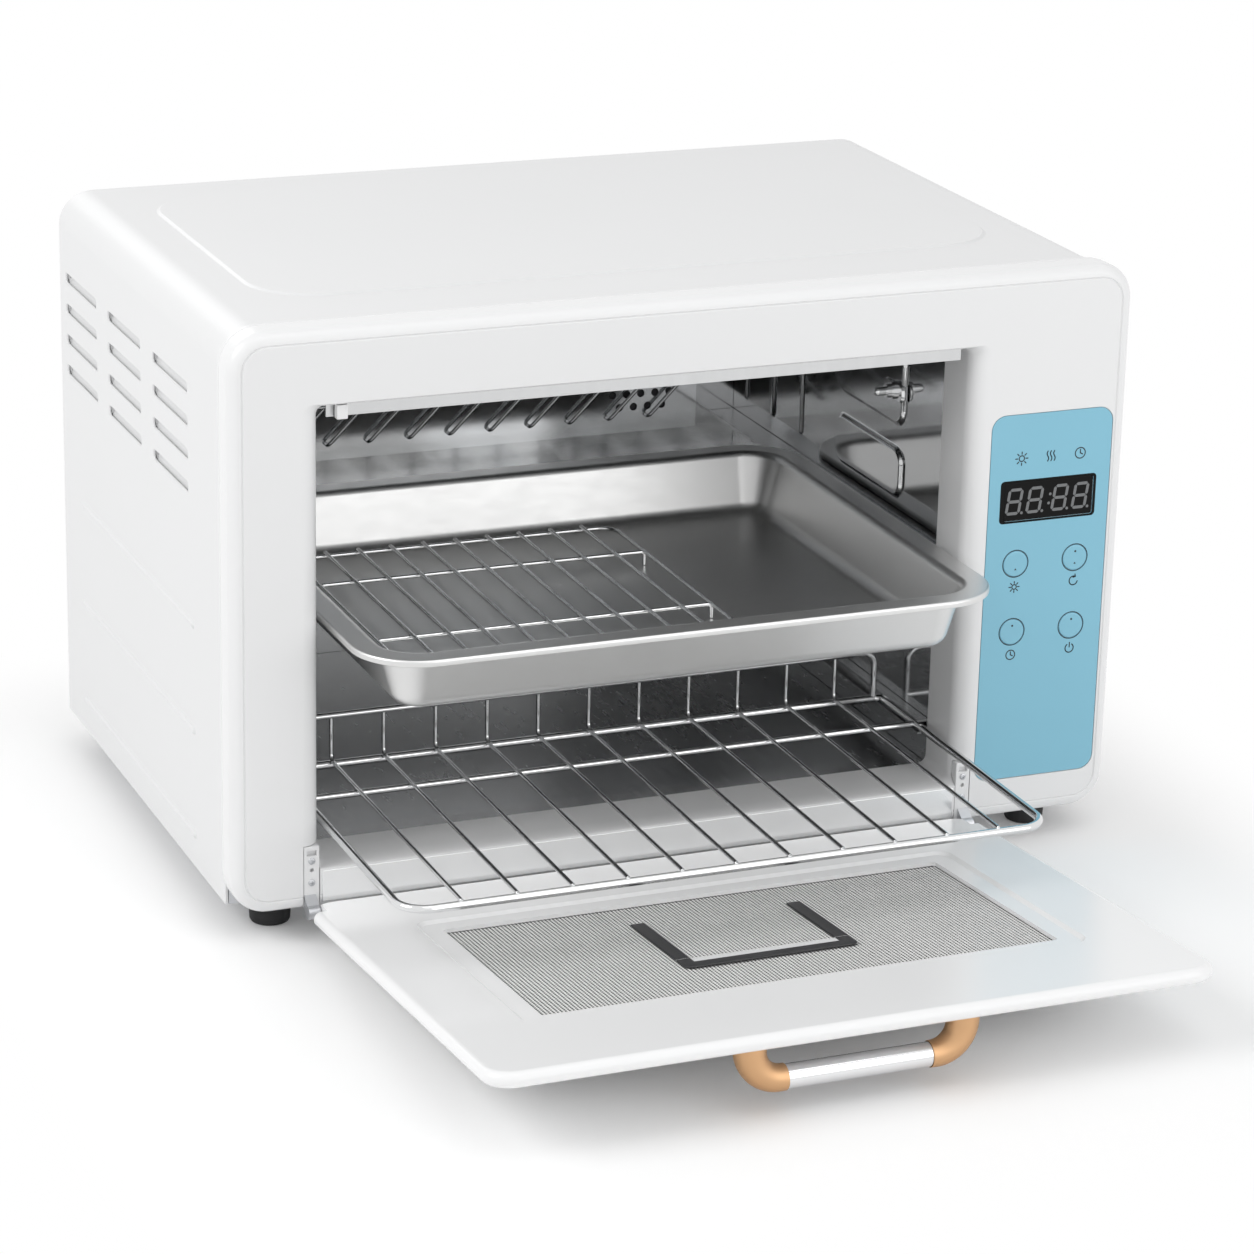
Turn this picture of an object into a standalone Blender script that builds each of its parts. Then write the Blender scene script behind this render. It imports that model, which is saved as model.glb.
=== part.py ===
"""Benchtop ultraviolet tool sterilizer: a steel cabinet with a drop-down door, a tray and a wire rack.

The cabinet stands on the XY plane and its front faces -Y. Everything is in metres.
Inside this file the cabinet is built with y = 0 on the face of its front frame,
and one empty then puts the middle of the whole outline at the origin.
"""

import math

import bpy
import bmesh
from mathutils import Matrix, Vector

# Fits and small common sizes

GAP = 0.0003
OVERRUN = 0.002
WELD = 0.0005
CORNER_STEPS = 5

# Cabinet body

BODY_WIDTH = 0.400
BODY_HEIGHT = 0.2455
BODY_DEPTH = 0.262
FOOT_HEIGHT = 0.014
FOOT_RADIUS = 0.0095
FOOT_TIP_RADIUS = 0.0085
FOOT_STEM_RADIUS = 0.003
FOOT_STEM_HEIGHT = 0.003
FOOT_SIDE_MARGIN = 0.021
FOOT_END_MARGIN = 0.011

# Front frame, a hollow moulding with a collar that reaches into the cabinet

FRAME_DEPTH = 0.016
FRAME_CORNER_RADIUS = 0.016
FRAME_FRONT_ROUND = 0.005
FRAME_FACE = 0.003
FRAME_WALL = 0.0025
COLLAR_WALL = 0.003
COLLAR_DEPTH = 0.028

# Opening in the front frame, set by its margins to the frame's edges

OPENING_LEFT_MARGIN = 0.038
OPENING_RIGHT_MARGIN = 0.074
OPENING_WIDTH = BODY_WIDTH - OPENING_LEFT_MARGIN - OPENING_RIGHT_MARGIN
OPENING_BOTTOM_MARGIN = 0.0185
OPENING_TOP_MARGIN = 0.0325
OPENING_HEIGHT = BODY_HEIGHT - OPENING_BOTTOM_MARGIN - OPENING_TOP_MARGIN
OPENING_CORNER_RADIUS = 0.004
REVEAL_SIDE_ROUND = 0.008
REVEAL_TOP_ROUND = 0.002
REVEAL_BOTTOM_ROUND = 0.0015

# Shell, rear panel and base

SHELL_INSET = 0.002
SHELL_SHEET = 0.001
SHELL_CORNER_RADIUS = 0.015
EMBOSS_HEIGHT = 0.0012
EMBOSS_SLOPE = 0.002
EMBOSS_SIDE_MARGIN = 0.030
EMBOSS_FRONT_MARGIN = 0.055
EMBOSS_REAR_MARGIN = 0.026
EMBOSS_CORNER_RADIUS = 0.030
LOUVRE_ROWS = 4
LOUVRE_COLUMNS = 3
LOUVRE_BRIDGE = 0.0185
LOUVRE_HEIGHT = 0.0042
LOUVRE_ROW_PITCH = 0.014
LOUVRE_END_SPARE = 0.055
LOUVRE_COLUMN_PITCH = (BODY_DEPTH - LOUVRE_END_SPARE) / LOUVRE_COLUMNS
LOUVRE_LENGTH = LOUVRE_COLUMN_PITCH - LOUVRE_BRIDGE
LOUVRE_TOP_MARGIN = 0.0344
LOUVRE_FRONT_MARGIN = 0.064
LOUVRE_FIN_DROP = 0.0035
LOUVRE_FIN_REACH = 0.004
LOUVRE_FIN_SHEET = 0.0008
RIB_COUNT = 3
RIB_LOUVRE_SPARE = 0.106
RIB_PITCH = (BODY_HEIGHT - RIB_LOUVRE_SPARE) / RIB_COUNT
RIB_BOTTOM_MARGIN = 0.0145
RIB_FRONT_MARGIN = 0.057
RIB_REAR_MARGIN = 0.029
RIB_LENGTH = BODY_DEPTH - RIB_FRONT_MARGIN - RIB_REAR_MARGIN
RIB_WIDTH = 0.0036
RIB_HEIGHT = 0.0007
PANEL_INSET = 0.0015
BASE_RIM_HEIGHT = 0.010
VENT_SLOT_COUNT = 6
VENT_SLOT_LENGTH = 0.060
VENT_SLOT_HEIGHT = 0.0032
VENT_SLOT_PITCH = 0.0085
VENT_TOP_MARGIN = 0.050

# Liner of the chamber

LINER_SHEET = 0.001
LINER_SETBACK = 0.001
SERVICE_DEPTH = 0.012
CHAMBER_DEPTH = BODY_DEPTH - SERVICE_DEPTH
TRAY_RIM_DROP = 0.00075
TRAY_RISE = BODY_HEIGHT / 2 - TRAY_RIM_DROP
PAD_HEIGHT = 0.0018
PAD_SLOPE = 0.0025
PAD_CORNER_RADIUS = 0.008
PAD_FRONT_MARGIN = 0.036
PAD_SHARE = 0.28
PAD_LENGTH = PAD_SHARE * CHAMBER_DEPTH
PAD_OVER_TRAY = 0.005
UPPER_PAD_TOP_MARGIN = 0.017
UPPER_PAD_GAP = 0.009
LOWER_PAD_SHARE = 0.4
LOWER_PAD_RISE = TRAY_RISE - OPENING_BOTTOM_MARGIN + PAD_OVER_TRAY
PADS_HEIGHT = OPENING_HEIGHT - LOWER_PAD_RISE - UPPER_PAD_TOP_MARGIN - UPPER_PAD_GAP
LOWER_PAD_HEIGHT = LOWER_PAD_SHARE * PADS_HEIGHT
UPPER_PAD_HEIGHT = PADS_HEIGHT - LOWER_PAD_HEIGHT
BEAD_WIDTH = 0.0045
BEAD_HEIGHT = 0.0012
BEAD_COUNT = 3
BEAD_SHARE = 0.124
BEAD_PITCH = BEAD_SHARE * CHAMBER_DEPTH
BEAD_REAR_MARGIN = 0.015
BEAD_TOP_MARGIN = 0.008
BEAD_LENGTH = OPENING_HEIGHT - LOWER_PAD_RISE - BEAD_TOP_MARGIN
VENT_HOLE_RADIUS = 0.0019
VENT_HOLE_PITCH = 0.0072
VENT_HOLE_SIDES = 8
VENT_CENTRE_SIDE_MARGIN = 0.0485
VENT_OVER_TRAY = 0.0085
VENT_CENTRE_RISE = TRAY_RISE + VENT_OVER_TRAY

# Strip and sensor under the opening's top edge

LIP_HEIGHT = 0.005
LIP_SHEET = 0.001
LIP_END_MARGIN = 0.004
LIP_SETBACK = 0.006
SENSOR_WIDTH = 0.0050
SENSOR_DEPTH = 0.0038
SENSOR_DROP = 0.0055
SENSOR_END_MARGIN = 0.007
SENSOR_SETBACK = 0.0015
SENSOR_HEAD_WIDTH = 0.012
SENSOR_HEAD_DEPTH = 0.0075
SENSOR_HEAD_HEIGHT = 0.006

# Control column

PANEL_WIDTH = 0.0575
PANEL_END_SPARE = 0.0805
PANEL_HEIGHT = BODY_HEIGHT - PANEL_END_SPARE
PANEL_RIGHT_MARGIN = 0.0068
PANEL_BOTTOM_MARGIN = 0.018
PANEL_CORNER_RADIUS = 0.0065
PANEL_SHEET = 0.0004
DISPLAY_WIDTH = 0.0425
DISPLAY_HEIGHT = 0.0172
DISPLAY_TOP_MARGIN = 0.030
DISPLAY_LENS_SHEET = 0.002
KEY_RADIUS = 0.0057
KEY_PROUD = 0.0003
KEY_SHEET = 0.0012
KEY_TRAVEL = 0.0006
KEY_STEM_RADIUS = 0.0022
KEY_COLUMN_PITCH = 0.0286
KEY_ROW_PITCH = 0.0309
KEY_TOP_MARGIN = 0.0665
KEY_SIDES = 20
BOARD_DEPTH = 0.012
BOARD_SHEET = 0.0016
BOARD_SIDE_MARGIN = 0.004
BOARD_TOP_MARGIN = 0.014
BOARD_BELOW_KEYS = 0.0176
BOARD_BOTTOM_MARGIN = PANEL_HEIGHT - KEY_TOP_MARGIN - KEY_ROW_PITCH - BOARD_BELOW_KEYS
BOSS_RADIUS = 0.003
BOSS_INSET = 0.005
SWITCH_WIDTH = 0.006
SWITCH_HEIGHT = 0.0016

# Ultraviolet lamp, its reflector and the wire guard below it

LAMP_SIDE_SPARE = 0.076
LAMP_LENGTH = OPENING_WIDTH - LAMP_SIDE_SPARE
LAMP_RADIUS = 0.00775
LAMP_CAP_LENGTH = 0.009
LAMP_PIN_RADIUS = 0.0012
LAMP_PIN_LENGTH = 0.006
LAMP_PIN_PITCH = 0.005
LAMP_REAR_MARGIN = 0.028
LAMP_DROP = 0.019
HOLDER_THICKNESS = 0.012
HOLDER_WIDTH = 0.022
HOLDER_BELOW_LAMP = 0.010
REFLECTOR_SHEET = 0.0008
REFLECTOR_SIDE_MARGIN = 0.020
REFLECTOR_BELOW_TRAY = 0.010
REFLECTOR_RISE = TRAY_RISE - REFLECTOR_BELOW_TRAY
REFLECTOR_CHAMFER = 0.012
REFLECTOR_REACH = 0.052
GUARD_WIRE_RADIUS = 0.0009
GUARD_BELOW_TRAY = 0.002
GUARD_RISE = TRAY_RISE - OPENING_BOTTOM_MARGIN - GUARD_BELOW_TRAY
GUARD_HEIGHT = 0.019
GUARD_SIDE_SPARE = 0.0691
GUARD_STAND_OFF = 0.005
GUARD_BEND = 0.002
GUARD_WIRE_COUNT = 11
GUARD_PITCH = (OPENING_WIDTH - GUARD_SIDE_SPARE) / GUARD_WIRE_COUNT
PROBE_RADIUS = 0.002
PROBE_LENGTH = 0.020
PROBE_CLIP_RADIUS = 0.004
PROBE_CLIP_THICKNESS = 0.002
PROBE_DEPTH_MARGIN = 0.045
PROBE_DROP = 0.038

# Parts in the service bay, above the chamber and behind it

FAN_WIDTH = 0.060
FAN_DEPTH = 0.015
FAN_BORE_RADIUS = 0.0285
FAN_HUB_RADIUS = 0.012
FAN_SPIDER_THICKNESS = 0.0025
FAN_STRUT_WIDTH = 0.004
FAN_BLADE_CLEARANCE = 0.0012
FAN_BLADE_SHEET = 0.0014
FAN_BLADE_COUNT = 7
FAN_SHAFT_RADIUS = 0.002
FAN_TOP_MARGIN = 0.040
GRILLE_RINGS = 2
GRILLE_HOLE_RADIUS = 0.0036
POWER_BOARD_LENGTH = 0.130
POWER_BOARD_SIDE_MARGIN = 0.006
POWER_BOARD_FRONT_MARGIN = 0.055
POWER_BOARD_RISE = 0.008
TRANSFORMER_SIZE = 0.026
RELAY_SIZE = 0.016
CAPACITOR_RADIUS = 0.006
CAPACITOR_HEIGHT = 0.018
BALLAST_LENGTH = 0.120
BALLAST_WIDTH = 0.034
BALLAST_HEIGHT = 0.020
BALLAST_SETBACK = 0.075
BALLAST_EAR_LENGTH = 0.010
BALLAST_EAR_SHEET = 0.0015
HEATER_WIDTH = 0.110
HEATER_HEIGHT = 0.060
HEATER_THICKNESS = 0.005
HEATER_BELOW_TRAY = 0.022
HEATER_RISE = TRAY_RISE - HEATER_BELOW_TRAY
GLAND_FLANGE_RADIUS = 0.008
GLAND_BARREL_RADIUS = 0.005
GLAND_BORE_RADIUS = 0.003
GLAND_FLANGE_THICKNESS = 0.0025
GLAND_REACH = 0.006
GLAND_RISE = 0.040

# Door and its hinges. The axis runs along X, in the middle of the door's thickness.

DOOR_THICKNESS = 0.0065
DOOR_FACE_GAP = 0.001
DOOR_SIDE_OVERLAP = 0.008
DOOR_TOP_OVERLAP = 0.004
DOOR_CORNER_RADIUS = 0.012
DOOR_AXIS_RISE = 0.0005
DOOR_OPEN_ANGLE = 85.0
WINDOW_SIDE_SPARE = 0.068
WINDOW_WIDTH = OPENING_WIDTH - WINDOW_SIDE_SPARE
WINDOW_START = 0.048
WINDOW_END_SPARE = 0.0835
WINDOW_LENGTH = OPENING_HEIGHT - WINDOW_END_SPARE
WINDOW_CORNER_RADIUS = 0.002
RECESS_MARGIN = 0.0095
RECESS_DEPTH = 0.0012
REBATE_MARGIN = 0.006
REBATE_DEPTH = 0.0036
MESH_SHEET = 0.0005
GLASS_SHEET = 0.0024
BAND_WIDTH = 0.075
BAND_START = 0.022
BAND_OVER_HALF = 0.0025
BAND_LENGTH = WINDOW_LENGTH / 2 + BAND_OVER_HALF
BAND_STRIP = 0.006
BAND_SHEET = 0.0007
HINGE_BLOCK_WIDTH = 0.0066
HINGE_BLOCK_HEIGHT = 0.0264
HINGE_BLOCK_DEPTH = 0.0040
HINGE_BLOCK_RISE = 0.0013
HINGE_KNUCKLE_RADIUS = 0.0029
HINGE_KNUCKLE_WIDTH = 0.005
HINGE_ARM_RISE = 0.0055
HINGE_PIN_RADIUS = 0.0015
HINGE_PIN_LENGTH = 0.013
HINGE_NOTCH_LENGTH = 0.010
HINGE_SIDE_CLEARANCE = 0.0005

# Handle

HANDLE_LEG_PITCH = 0.089
HANDLE_PROJECTION = 0.022
HANDLE_TUBE_RADIUS = 0.0066
HANDLE_BAR_RADIUS = 0.0049
HANDLE_BEND = 0.0125
HANDLE_ELBOW_REACH = 0.0146
HANDLE_SOCKET = 0.004
HANDLE_EDGE_MARGIN = 0.0115

# Wire rack

RACK_SIDE_SPARE = 0.0065
RACK_REAR_SPARE = 0.085
RACK_WIDTH = OPENING_WIDTH - RACK_SIDE_SPARE
RACK_DEPTH = CHAMBER_DEPTH - RACK_REAR_SPARE
RACK_OUT = 0.095
RACK_RISE = 0.035
RACK_FRAME_RADIUS = 0.00175
RACK_CROSS_RADIUS = 0.0014
RACK_WIRE_RADIUS = 0.0009
RACK_CORNER_RADIUS = 0.012
RACK_WIRE_COUNT = 11
RACK_FENCE_HEIGHT = 0.022
RACK_CROSS_SPARE = 0.037
RACK_CROSS_SETBACK = RACK_DEPTH - RACK_CROSS_SPARE
RACK_SLOT_PLAY = 0.0005
RACK_GUIDE_REACH = 0.0050
RACK_GUIDE_SHEET = 0.0009

# Tray

TRAY_SIDE_SPARE = 0.008
TRAY_REAR_SPARE = 0.014
TRAY_WIDTH = OPENING_WIDTH - TRAY_SIDE_SPARE
TRAY_DEPTH = CHAMBER_DEPTH - TRAY_REAR_SPARE
TRAY_OUT = 0.052
TRAY_HEIGHT = 0.027
TRAY_SHEET = 0.001
TRAY_FLANGE = 0.009
TRAY_EDGE_DROP = 0.0028
TRAY_CORNER_RADIUS = 0.028
TRAY_WALL_TAPER = 0.005
TRAY_SHOULDER = 0.0035
TRAY_FLOOR_ROUND = 0.006
TRAY_RAIL_REACH = 0.0125
TRAY_RAIL_SHEET = 0.0010
TRAY_RAIL_HEIGHT = 0.010
INSERT_SIDE_MARGIN = 0.030
INSERT_SIDE_SPARE = 0.130
INSERT_END_SPARE = 0.086
INSERT_WIDTH = TRAY_WIDTH - INSERT_SIDE_SPARE
INSERT_LENGTH = TRAY_DEPTH - INSERT_END_SPARE
INSERT_FRONT_MARGIN = 0.045
INSERT_WIRE_RADIUS = 0.0009
INSERT_WIRE_COUNT = 9
INSERT_LEG = 0.005
INSERT_CORNER_RADIUS = 0.008

# Places that follow from the driving sizes

BASE_Z = FOOT_HEIGHT
FRAME_LEFT = -BODY_WIDTH / 2
FRAME_RIGHT = BODY_WIDTH / 2
FRAME_TOP = BASE_Z + BODY_HEIGHT
OPENING_LEFT = FRAME_LEFT + OPENING_LEFT_MARGIN
OPENING_RIGHT = OPENING_LEFT + OPENING_WIDTH
OPENING_BOTTOM = BASE_Z + OPENING_BOTTOM_MARGIN
OPENING_TOP = OPENING_BOTTOM + OPENING_HEIGHT
OPENING_CENTRE = (OPENING_LEFT + OPENING_RIGHT) / 2
SHELL_LEFT = FRAME_LEFT + SHELL_INSET
SHELL_RIGHT = FRAME_RIGHT - SHELL_INSET
SHELL_TOP = FRAME_TOP - SHELL_INSET
SHELL_FRONT = FRAME_DEPTH + GAP
INNER_LEFT = SHELL_LEFT + SHELL_SHEET + GAP
INNER_RIGHT = SHELL_RIGHT - SHELL_SHEET - GAP
INNER_TOP = SHELL_TOP - SHELL_SHEET - GAP
REAR_PANEL_BACK = BODY_DEPTH - PANEL_INSET
REAR_PANEL_FRONT = REAR_PANEL_BACK - SHELL_SHEET
CHAMBER_FRONT = COLLAR_DEPTH + GAP
CHAMBER_LEFT = OPENING_LEFT - LINER_SETBACK
CHAMBER_RIGHT = OPENING_RIGHT + LINER_SETBACK
CHAMBER_FLOOR = OPENING_BOTTOM - LINER_SETBACK
CHAMBER_TOP = OPENING_TOP + LINER_SETBACK
BAY_LEFT = CHAMBER_RIGHT + LINER_SHEET
BAY_CENTRE = (BAY_LEFT + INNER_RIGHT) / 2
PANEL_RIGHT = FRAME_RIGHT - PANEL_RIGHT_MARGIN
PANEL_LEFT = PANEL_RIGHT - PANEL_WIDTH
PANEL_CENTRE = (PANEL_LEFT + PANEL_RIGHT) / 2
PANEL_BOTTOM = BASE_Z + PANEL_BOTTOM_MARGIN
PANEL_TOP = PANEL_BOTTOM + PANEL_HEIGHT
PANEL_RECESS = PANEL_SHEET + GAP
DISPLAY_TOP = PANEL_TOP - DISPLAY_TOP_MARGIN
DISPLAY_BOTTOM = DISPLAY_TOP - DISPLAY_HEIGHT
KEY_TOP_ROW = PANEL_TOP - KEY_TOP_MARGIN
DOOR_AXIS_Y = -DOOR_FACE_GAP - DOOR_THICKNESS / 2
DOOR_AXIS_Z = BASE_Z + DOOR_AXIS_RISE
DOOR_LEFT = OPENING_LEFT - DOOR_SIDE_OVERLAP
DOOR_RIGHT = OPENING_RIGHT + DOOR_SIDE_OVERLAP
DOOR_LENGTH = OPENING_TOP + DOOR_TOP_OVERLAP - DOOR_AXIS_Z
OPEN_RADIANS = math.radians(DOOR_OPEN_ANGLE)
EDGE_RADIUS = DOOR_THICKNESS / 2
DOOR_REACH = -DOOR_AXIS_Y + (DOOR_LENGTH - EDGE_RADIUS) * math.sin(OPEN_RADIANS) + EDGE_RADIUS
REAR_REACH = REAR_PANEL_BACK + GLAND_FLANGE_THICKNESS + GLAND_REACH
FRONT_Y = (DOOR_REACH - REAR_REACH) / 2
GUIDE_LEFT = CHAMBER_LEFT + GAP
GUIDE_RIGHT = CHAMBER_RIGHT - GAP
GUIDE_FRONT = CHAMBER_FRONT + GAP
GUIDE_BACK = CHAMBER_DEPTH - GAP
RACK_Z = BASE_Z + RACK_RISE
TRAY_Z = BASE_Z + TRAY_RISE


# Small modelling helpers


def clear_scene():
    for item in list(bpy.data.objects):
        bpy.data.objects.remove(item)


def paint(name, colour, roughness, metallic=0.0, alpha=1.0):
    material = bpy.data.materials.new(name)
    material.use_nodes = True
    shader = material.node_tree.nodes["Principled BSDF"]
    shader.inputs["Base Color"].default_value = (*colour, 1.0)
    shader.inputs["Roughness"].default_value = roughness
    shader.inputs["Metallic"].default_value = metallic
    shader.inputs["Alpha"].default_value = alpha
    return material


def point(axis, a, b, depth):
    """A point of a flat outline (a, b) that lies at a depth along the axis."""
    if axis == "X":
        return Vector((depth, a, b))
    if axis == "Y":
        return Vector((a, depth, b))
    return Vector((a, b, depth))


def rounded(a0, a1, b0, b1, radius, steps=CORNER_STEPS):
    """A rounded rectangle, anticlockwise, with the same number of points for every size."""
    radius = min(radius, (a1 - a0) / 2, (b1 - b0) / 2)
    corners = (
        (a1 - radius, b0 + radius, -90),
        (a1 - radius, b1 - radius, 0),
        (a0 + radius, b1 - radius, 90),
        (a0 + radius, b0 + radius, 180),
    )
    outline = []
    for centre_a, centre_b, start in corners:
        for step in range(steps + 1):
            angle = math.radians(start + 90 * step / steps)
            outline.append((centre_a + radius * math.cos(angle), centre_b + radius * math.sin(angle)))
    return outline


def circle(a, b, radius, sides):
    turn = 2 * math.pi / sides
    return [(a + radius * math.cos(i * turn), b + radius * math.sin(i * turn)) for i in range(sides)]


def loft(rings, loop=False):
    """Joins rings of equal length into one closed solid: capped, or closed on itself as a loop."""
    mesh = bmesh.new()
    rows = [[mesh.verts.new(place) for place in ring] for ring in rings]
    pairs = list(zip(rows, rows[1:]))
    if loop:
        pairs.append((rows[-1], rows[0]))
    for lower, upper in pairs:
        for i in range(len(lower)):
            j = (i + 1) % len(lower)
            mesh.faces.new((lower[i], lower[j], upper[j], upper[i]))
    if not loop:
        mesh.faces.new(rows[0])
        mesh.faces.new(rows[-1])
    bmesh.ops.recalc_face_normals(mesh, faces=mesh.faces)
    return mesh


def prism(outline, axis, low, high):
    return loft([[point(axis, a, b, depth) for a, b in outline] for depth in (low, high)])


def box(x0, x1, y0, y1, z0, z1):
    return prism(((x0, z0), (x1, z0), (x1, z1), (x0, z1)), "Y", y0, y1)


def rod(axis, a, b, radius, low, high, sides=16):
    return prism(circle(a, b, radius, sides), axis, low, high)


def turned(axis, a, b, stations, sides=24):
    """A turned solid: stations are pairs of depth along the axis and radius."""
    return loft([[point(axis, u, v, depth) for u, v in circle(a, b, radius, sides)] for depth, radius in stations])


def bend(corners, radius, steps=4, closed=False):
    """A path through the corners with each inner corner rounded to an arc."""
    places = [Vector(corner) for corner in corners]
    path = []
    for i, corner in enumerate(places):
        if not closed and i in (0, len(places) - 1):
            path.append(corner)
            continue
        before = (places[i - 1] - corner).normalized()
        after = (places[(i + 1) % len(places)] - corner).normalized()
        half = before.angle(after) / 2
        middle = corner + (before + after).normalized() * (radius / math.sin(half))
        start = corner + before * (radius / math.tan(half))
        normal = before.cross(after).normalized()
        for step in range(steps + 1):
            turn = Matrix.Rotation((2 * half - math.pi) * step / steps, 3, normal)
            path.append(middle + turn @ (start - middle))
    return path


def path_normal(path):
    """The normal of the plane that a bent path lies in; any normal for a straight one."""
    first = path[1] - path[0]
    for place in path[2:]:
        normal = first.cross(place - path[0])
        if normal.length > GAP * GAP:
            return normal.normalized()
    return first.orthogonal().normalized()


def sweep(path, radius, sides, closed=False):
    """A round wire or tube along a path that lies in one plane."""
    normal = path_normal(path)
    last = len(path) - 1
    rings = []
    for i, place in enumerate(path):
        after = path[(i + 1) % len(path)] - place
        before = place - path[i - 1]
        if not closed and i == 0:
            before = after
        if not closed and i == last:
            after = before
        along = (before.normalized() + after.normalized()).normalized()
        across = along.cross(normal) / along.dot(after.normalized())
        rings.append([place + normal * a + across * b for a, b in circle(0, 0, radius, sides)])
    return loft(rings, loop=closed)


def mesh_object(name, mesh):
    data = bpy.data.meshes.new(name)
    mesh.to_mesh(data)
    mesh.free()
    made = bpy.data.objects.new(name, data)
    bpy.context.collection.objects.link(made)
    return made


def combine(target, tools, operation):
    """Cuts the tools from the target, or fuses them to it, one after another."""
    for tool in tools:
        base = mesh_object("base", target)
        other = mesh_object("tool", tool)
        change = base.modifiers.new("change", "BOOLEAN")
        change.operation = operation
        change.solver = "EXACT"
        change.object = other
        graph = bpy.context.evaluated_depsgraph_get()
        target = bmesh.new()
        target.from_mesh(base.evaluated_get(graph).to_mesh())
        for spent in (base, other):
            bpy.data.objects.remove(spent)
    return target


def cut(target, *tools):
    return combine(target, tools, "DIFFERENCE")


def fuse(target, *tools):
    return combine(target, tools, "UNION")


def piece(name, mesh, material, parent, place=(0, 0, 0)):
    """One sub-part: a named object with its own material, set under its parent."""
    made = mesh_object(name, mesh)
    made.data.materials.append(material)
    made.data.shade_smooth()
    made.data.set_sharp_from_angle(angle=math.radians(35))
    made.parent = parent
    made.location = place
    return made


def empty(name, place, parent=None, turn=0.0):
    made = bpy.data.objects.new(name, None)
    bpy.context.collection.objects.link(made)
    made.location = place
    made.rotation_euler = (turn, 0, 0)
    made.parent = parent
    return made


# Front frame


def frame_ring(sides, low, high, depth, radius):
    """A rounded ring round the frame or its opening: sides, low and high are how far each edge moves out."""
    left, right, bottom, top = sides
    outline = rounded(left - low[0], right + low[0], bottom - low[1], top + high, radius)
    return [point("Y", a, b, depth) for a, b in outline]


def front_frame_solid():
    outer = (FRAME_LEFT, FRAME_RIGHT, BASE_Z, FRAME_TOP)
    opening = (OPENING_LEFT, OPENING_RIGHT, OPENING_BOTTOM, OPENING_TOP)
    rings = []
    steps = 4
    for step in range(steps + 1):
        angle = math.radians(90 * step / steps)
        inset = FRAME_FRONT_ROUND * (1 - math.sin(angle))
        depth = FRAME_FRONT_ROUND * (1 - math.cos(angle))
        rings.append(frame_ring(outer, (-inset, -inset), -inset, depth, FRAME_CORNER_RADIUS - inset))
    rings.append(frame_ring(outer, (0, 0), 0, FRAME_DEPTH, FRAME_CORNER_RADIUS))
    inner_radius = FRAME_CORNER_RADIUS - FRAME_WALL
    for depth in (FRAME_DEPTH, FRAME_FACE):
        rings.append(frame_ring(outer, (-FRAME_WALL, -FRAME_WALL), -FRAME_WALL, depth, inner_radius))
    collar_radius = OPENING_CORNER_RADIUS + COLLAR_WALL
    for depth in (FRAME_FACE, COLLAR_DEPTH):
        rings.append(frame_ring(opening, (COLLAR_WALL, COLLAR_WALL), COLLAR_WALL, depth, collar_radius))
    rings.append(frame_ring(opening, (0, 0), 0, COLLAR_DEPTH, OPENING_CORNER_RADIUS))
    for step in range(steps + 1):
        angle = math.radians(90 * step / steps)
        share = 1 - math.cos(angle)
        depth = REVEAL_SIDE_ROUND * (1 - math.sin(angle))
        low = (REVEAL_SIDE_ROUND * share, REVEAL_BOTTOM_ROUND * share)
        rings.append(frame_ring(opening, low, REVEAL_TOP_ROUND * share, depth, OPENING_CORNER_RADIUS))
    return loft(rings, loop=True)


def key_places():
    left = PANEL_CENTRE - KEY_COLUMN_PITCH / 2
    names = ("key_lamp", "key_auto", "key_timer", "key_power")
    places = []
    for i, name in enumerate(names):
        across = left + KEY_COLUMN_PITCH * (i % 2)
        up = KEY_TOP_ROW - KEY_ROW_PITCH * (i // 2)
        places.append((name, across, up))
    return places


def board_edges():
    left = PANEL_LEFT + BOARD_SIDE_MARGIN
    right = PANEL_RIGHT - BOARD_SIDE_MARGIN
    return left, right, PANEL_BOTTOM + BOARD_BOTTOM_MARGIN, PANEL_TOP - BOARD_TOP_MARGIN


def display_edges(shrink):
    half = DISPLAY_WIDTH / 2 - shrink
    return PANEL_CENTRE - half, PANEL_CENTRE + half, DISPLAY_BOTTOM + shrink, DISPLAY_TOP - shrink


def sensor_edges(shrink):
    left = OPENING_LEFT + SENSOR_END_MARGIN
    back = SENSOR_SETBACK + SENSOR_DEPTH
    return left + shrink, left + SENSOR_WIDTH - shrink, SENSOR_SETBACK + shrink, back - shrink


def hinge_sides():
    """For each side of the door: its name, the outer end of the hinge and the way inwards."""
    return (("left", DOOR_LEFT + HINGE_SIDE_CLEARANCE, 1), ("right", DOOR_RIGHT - HINGE_SIDE_CLEARANCE, -1))


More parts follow.
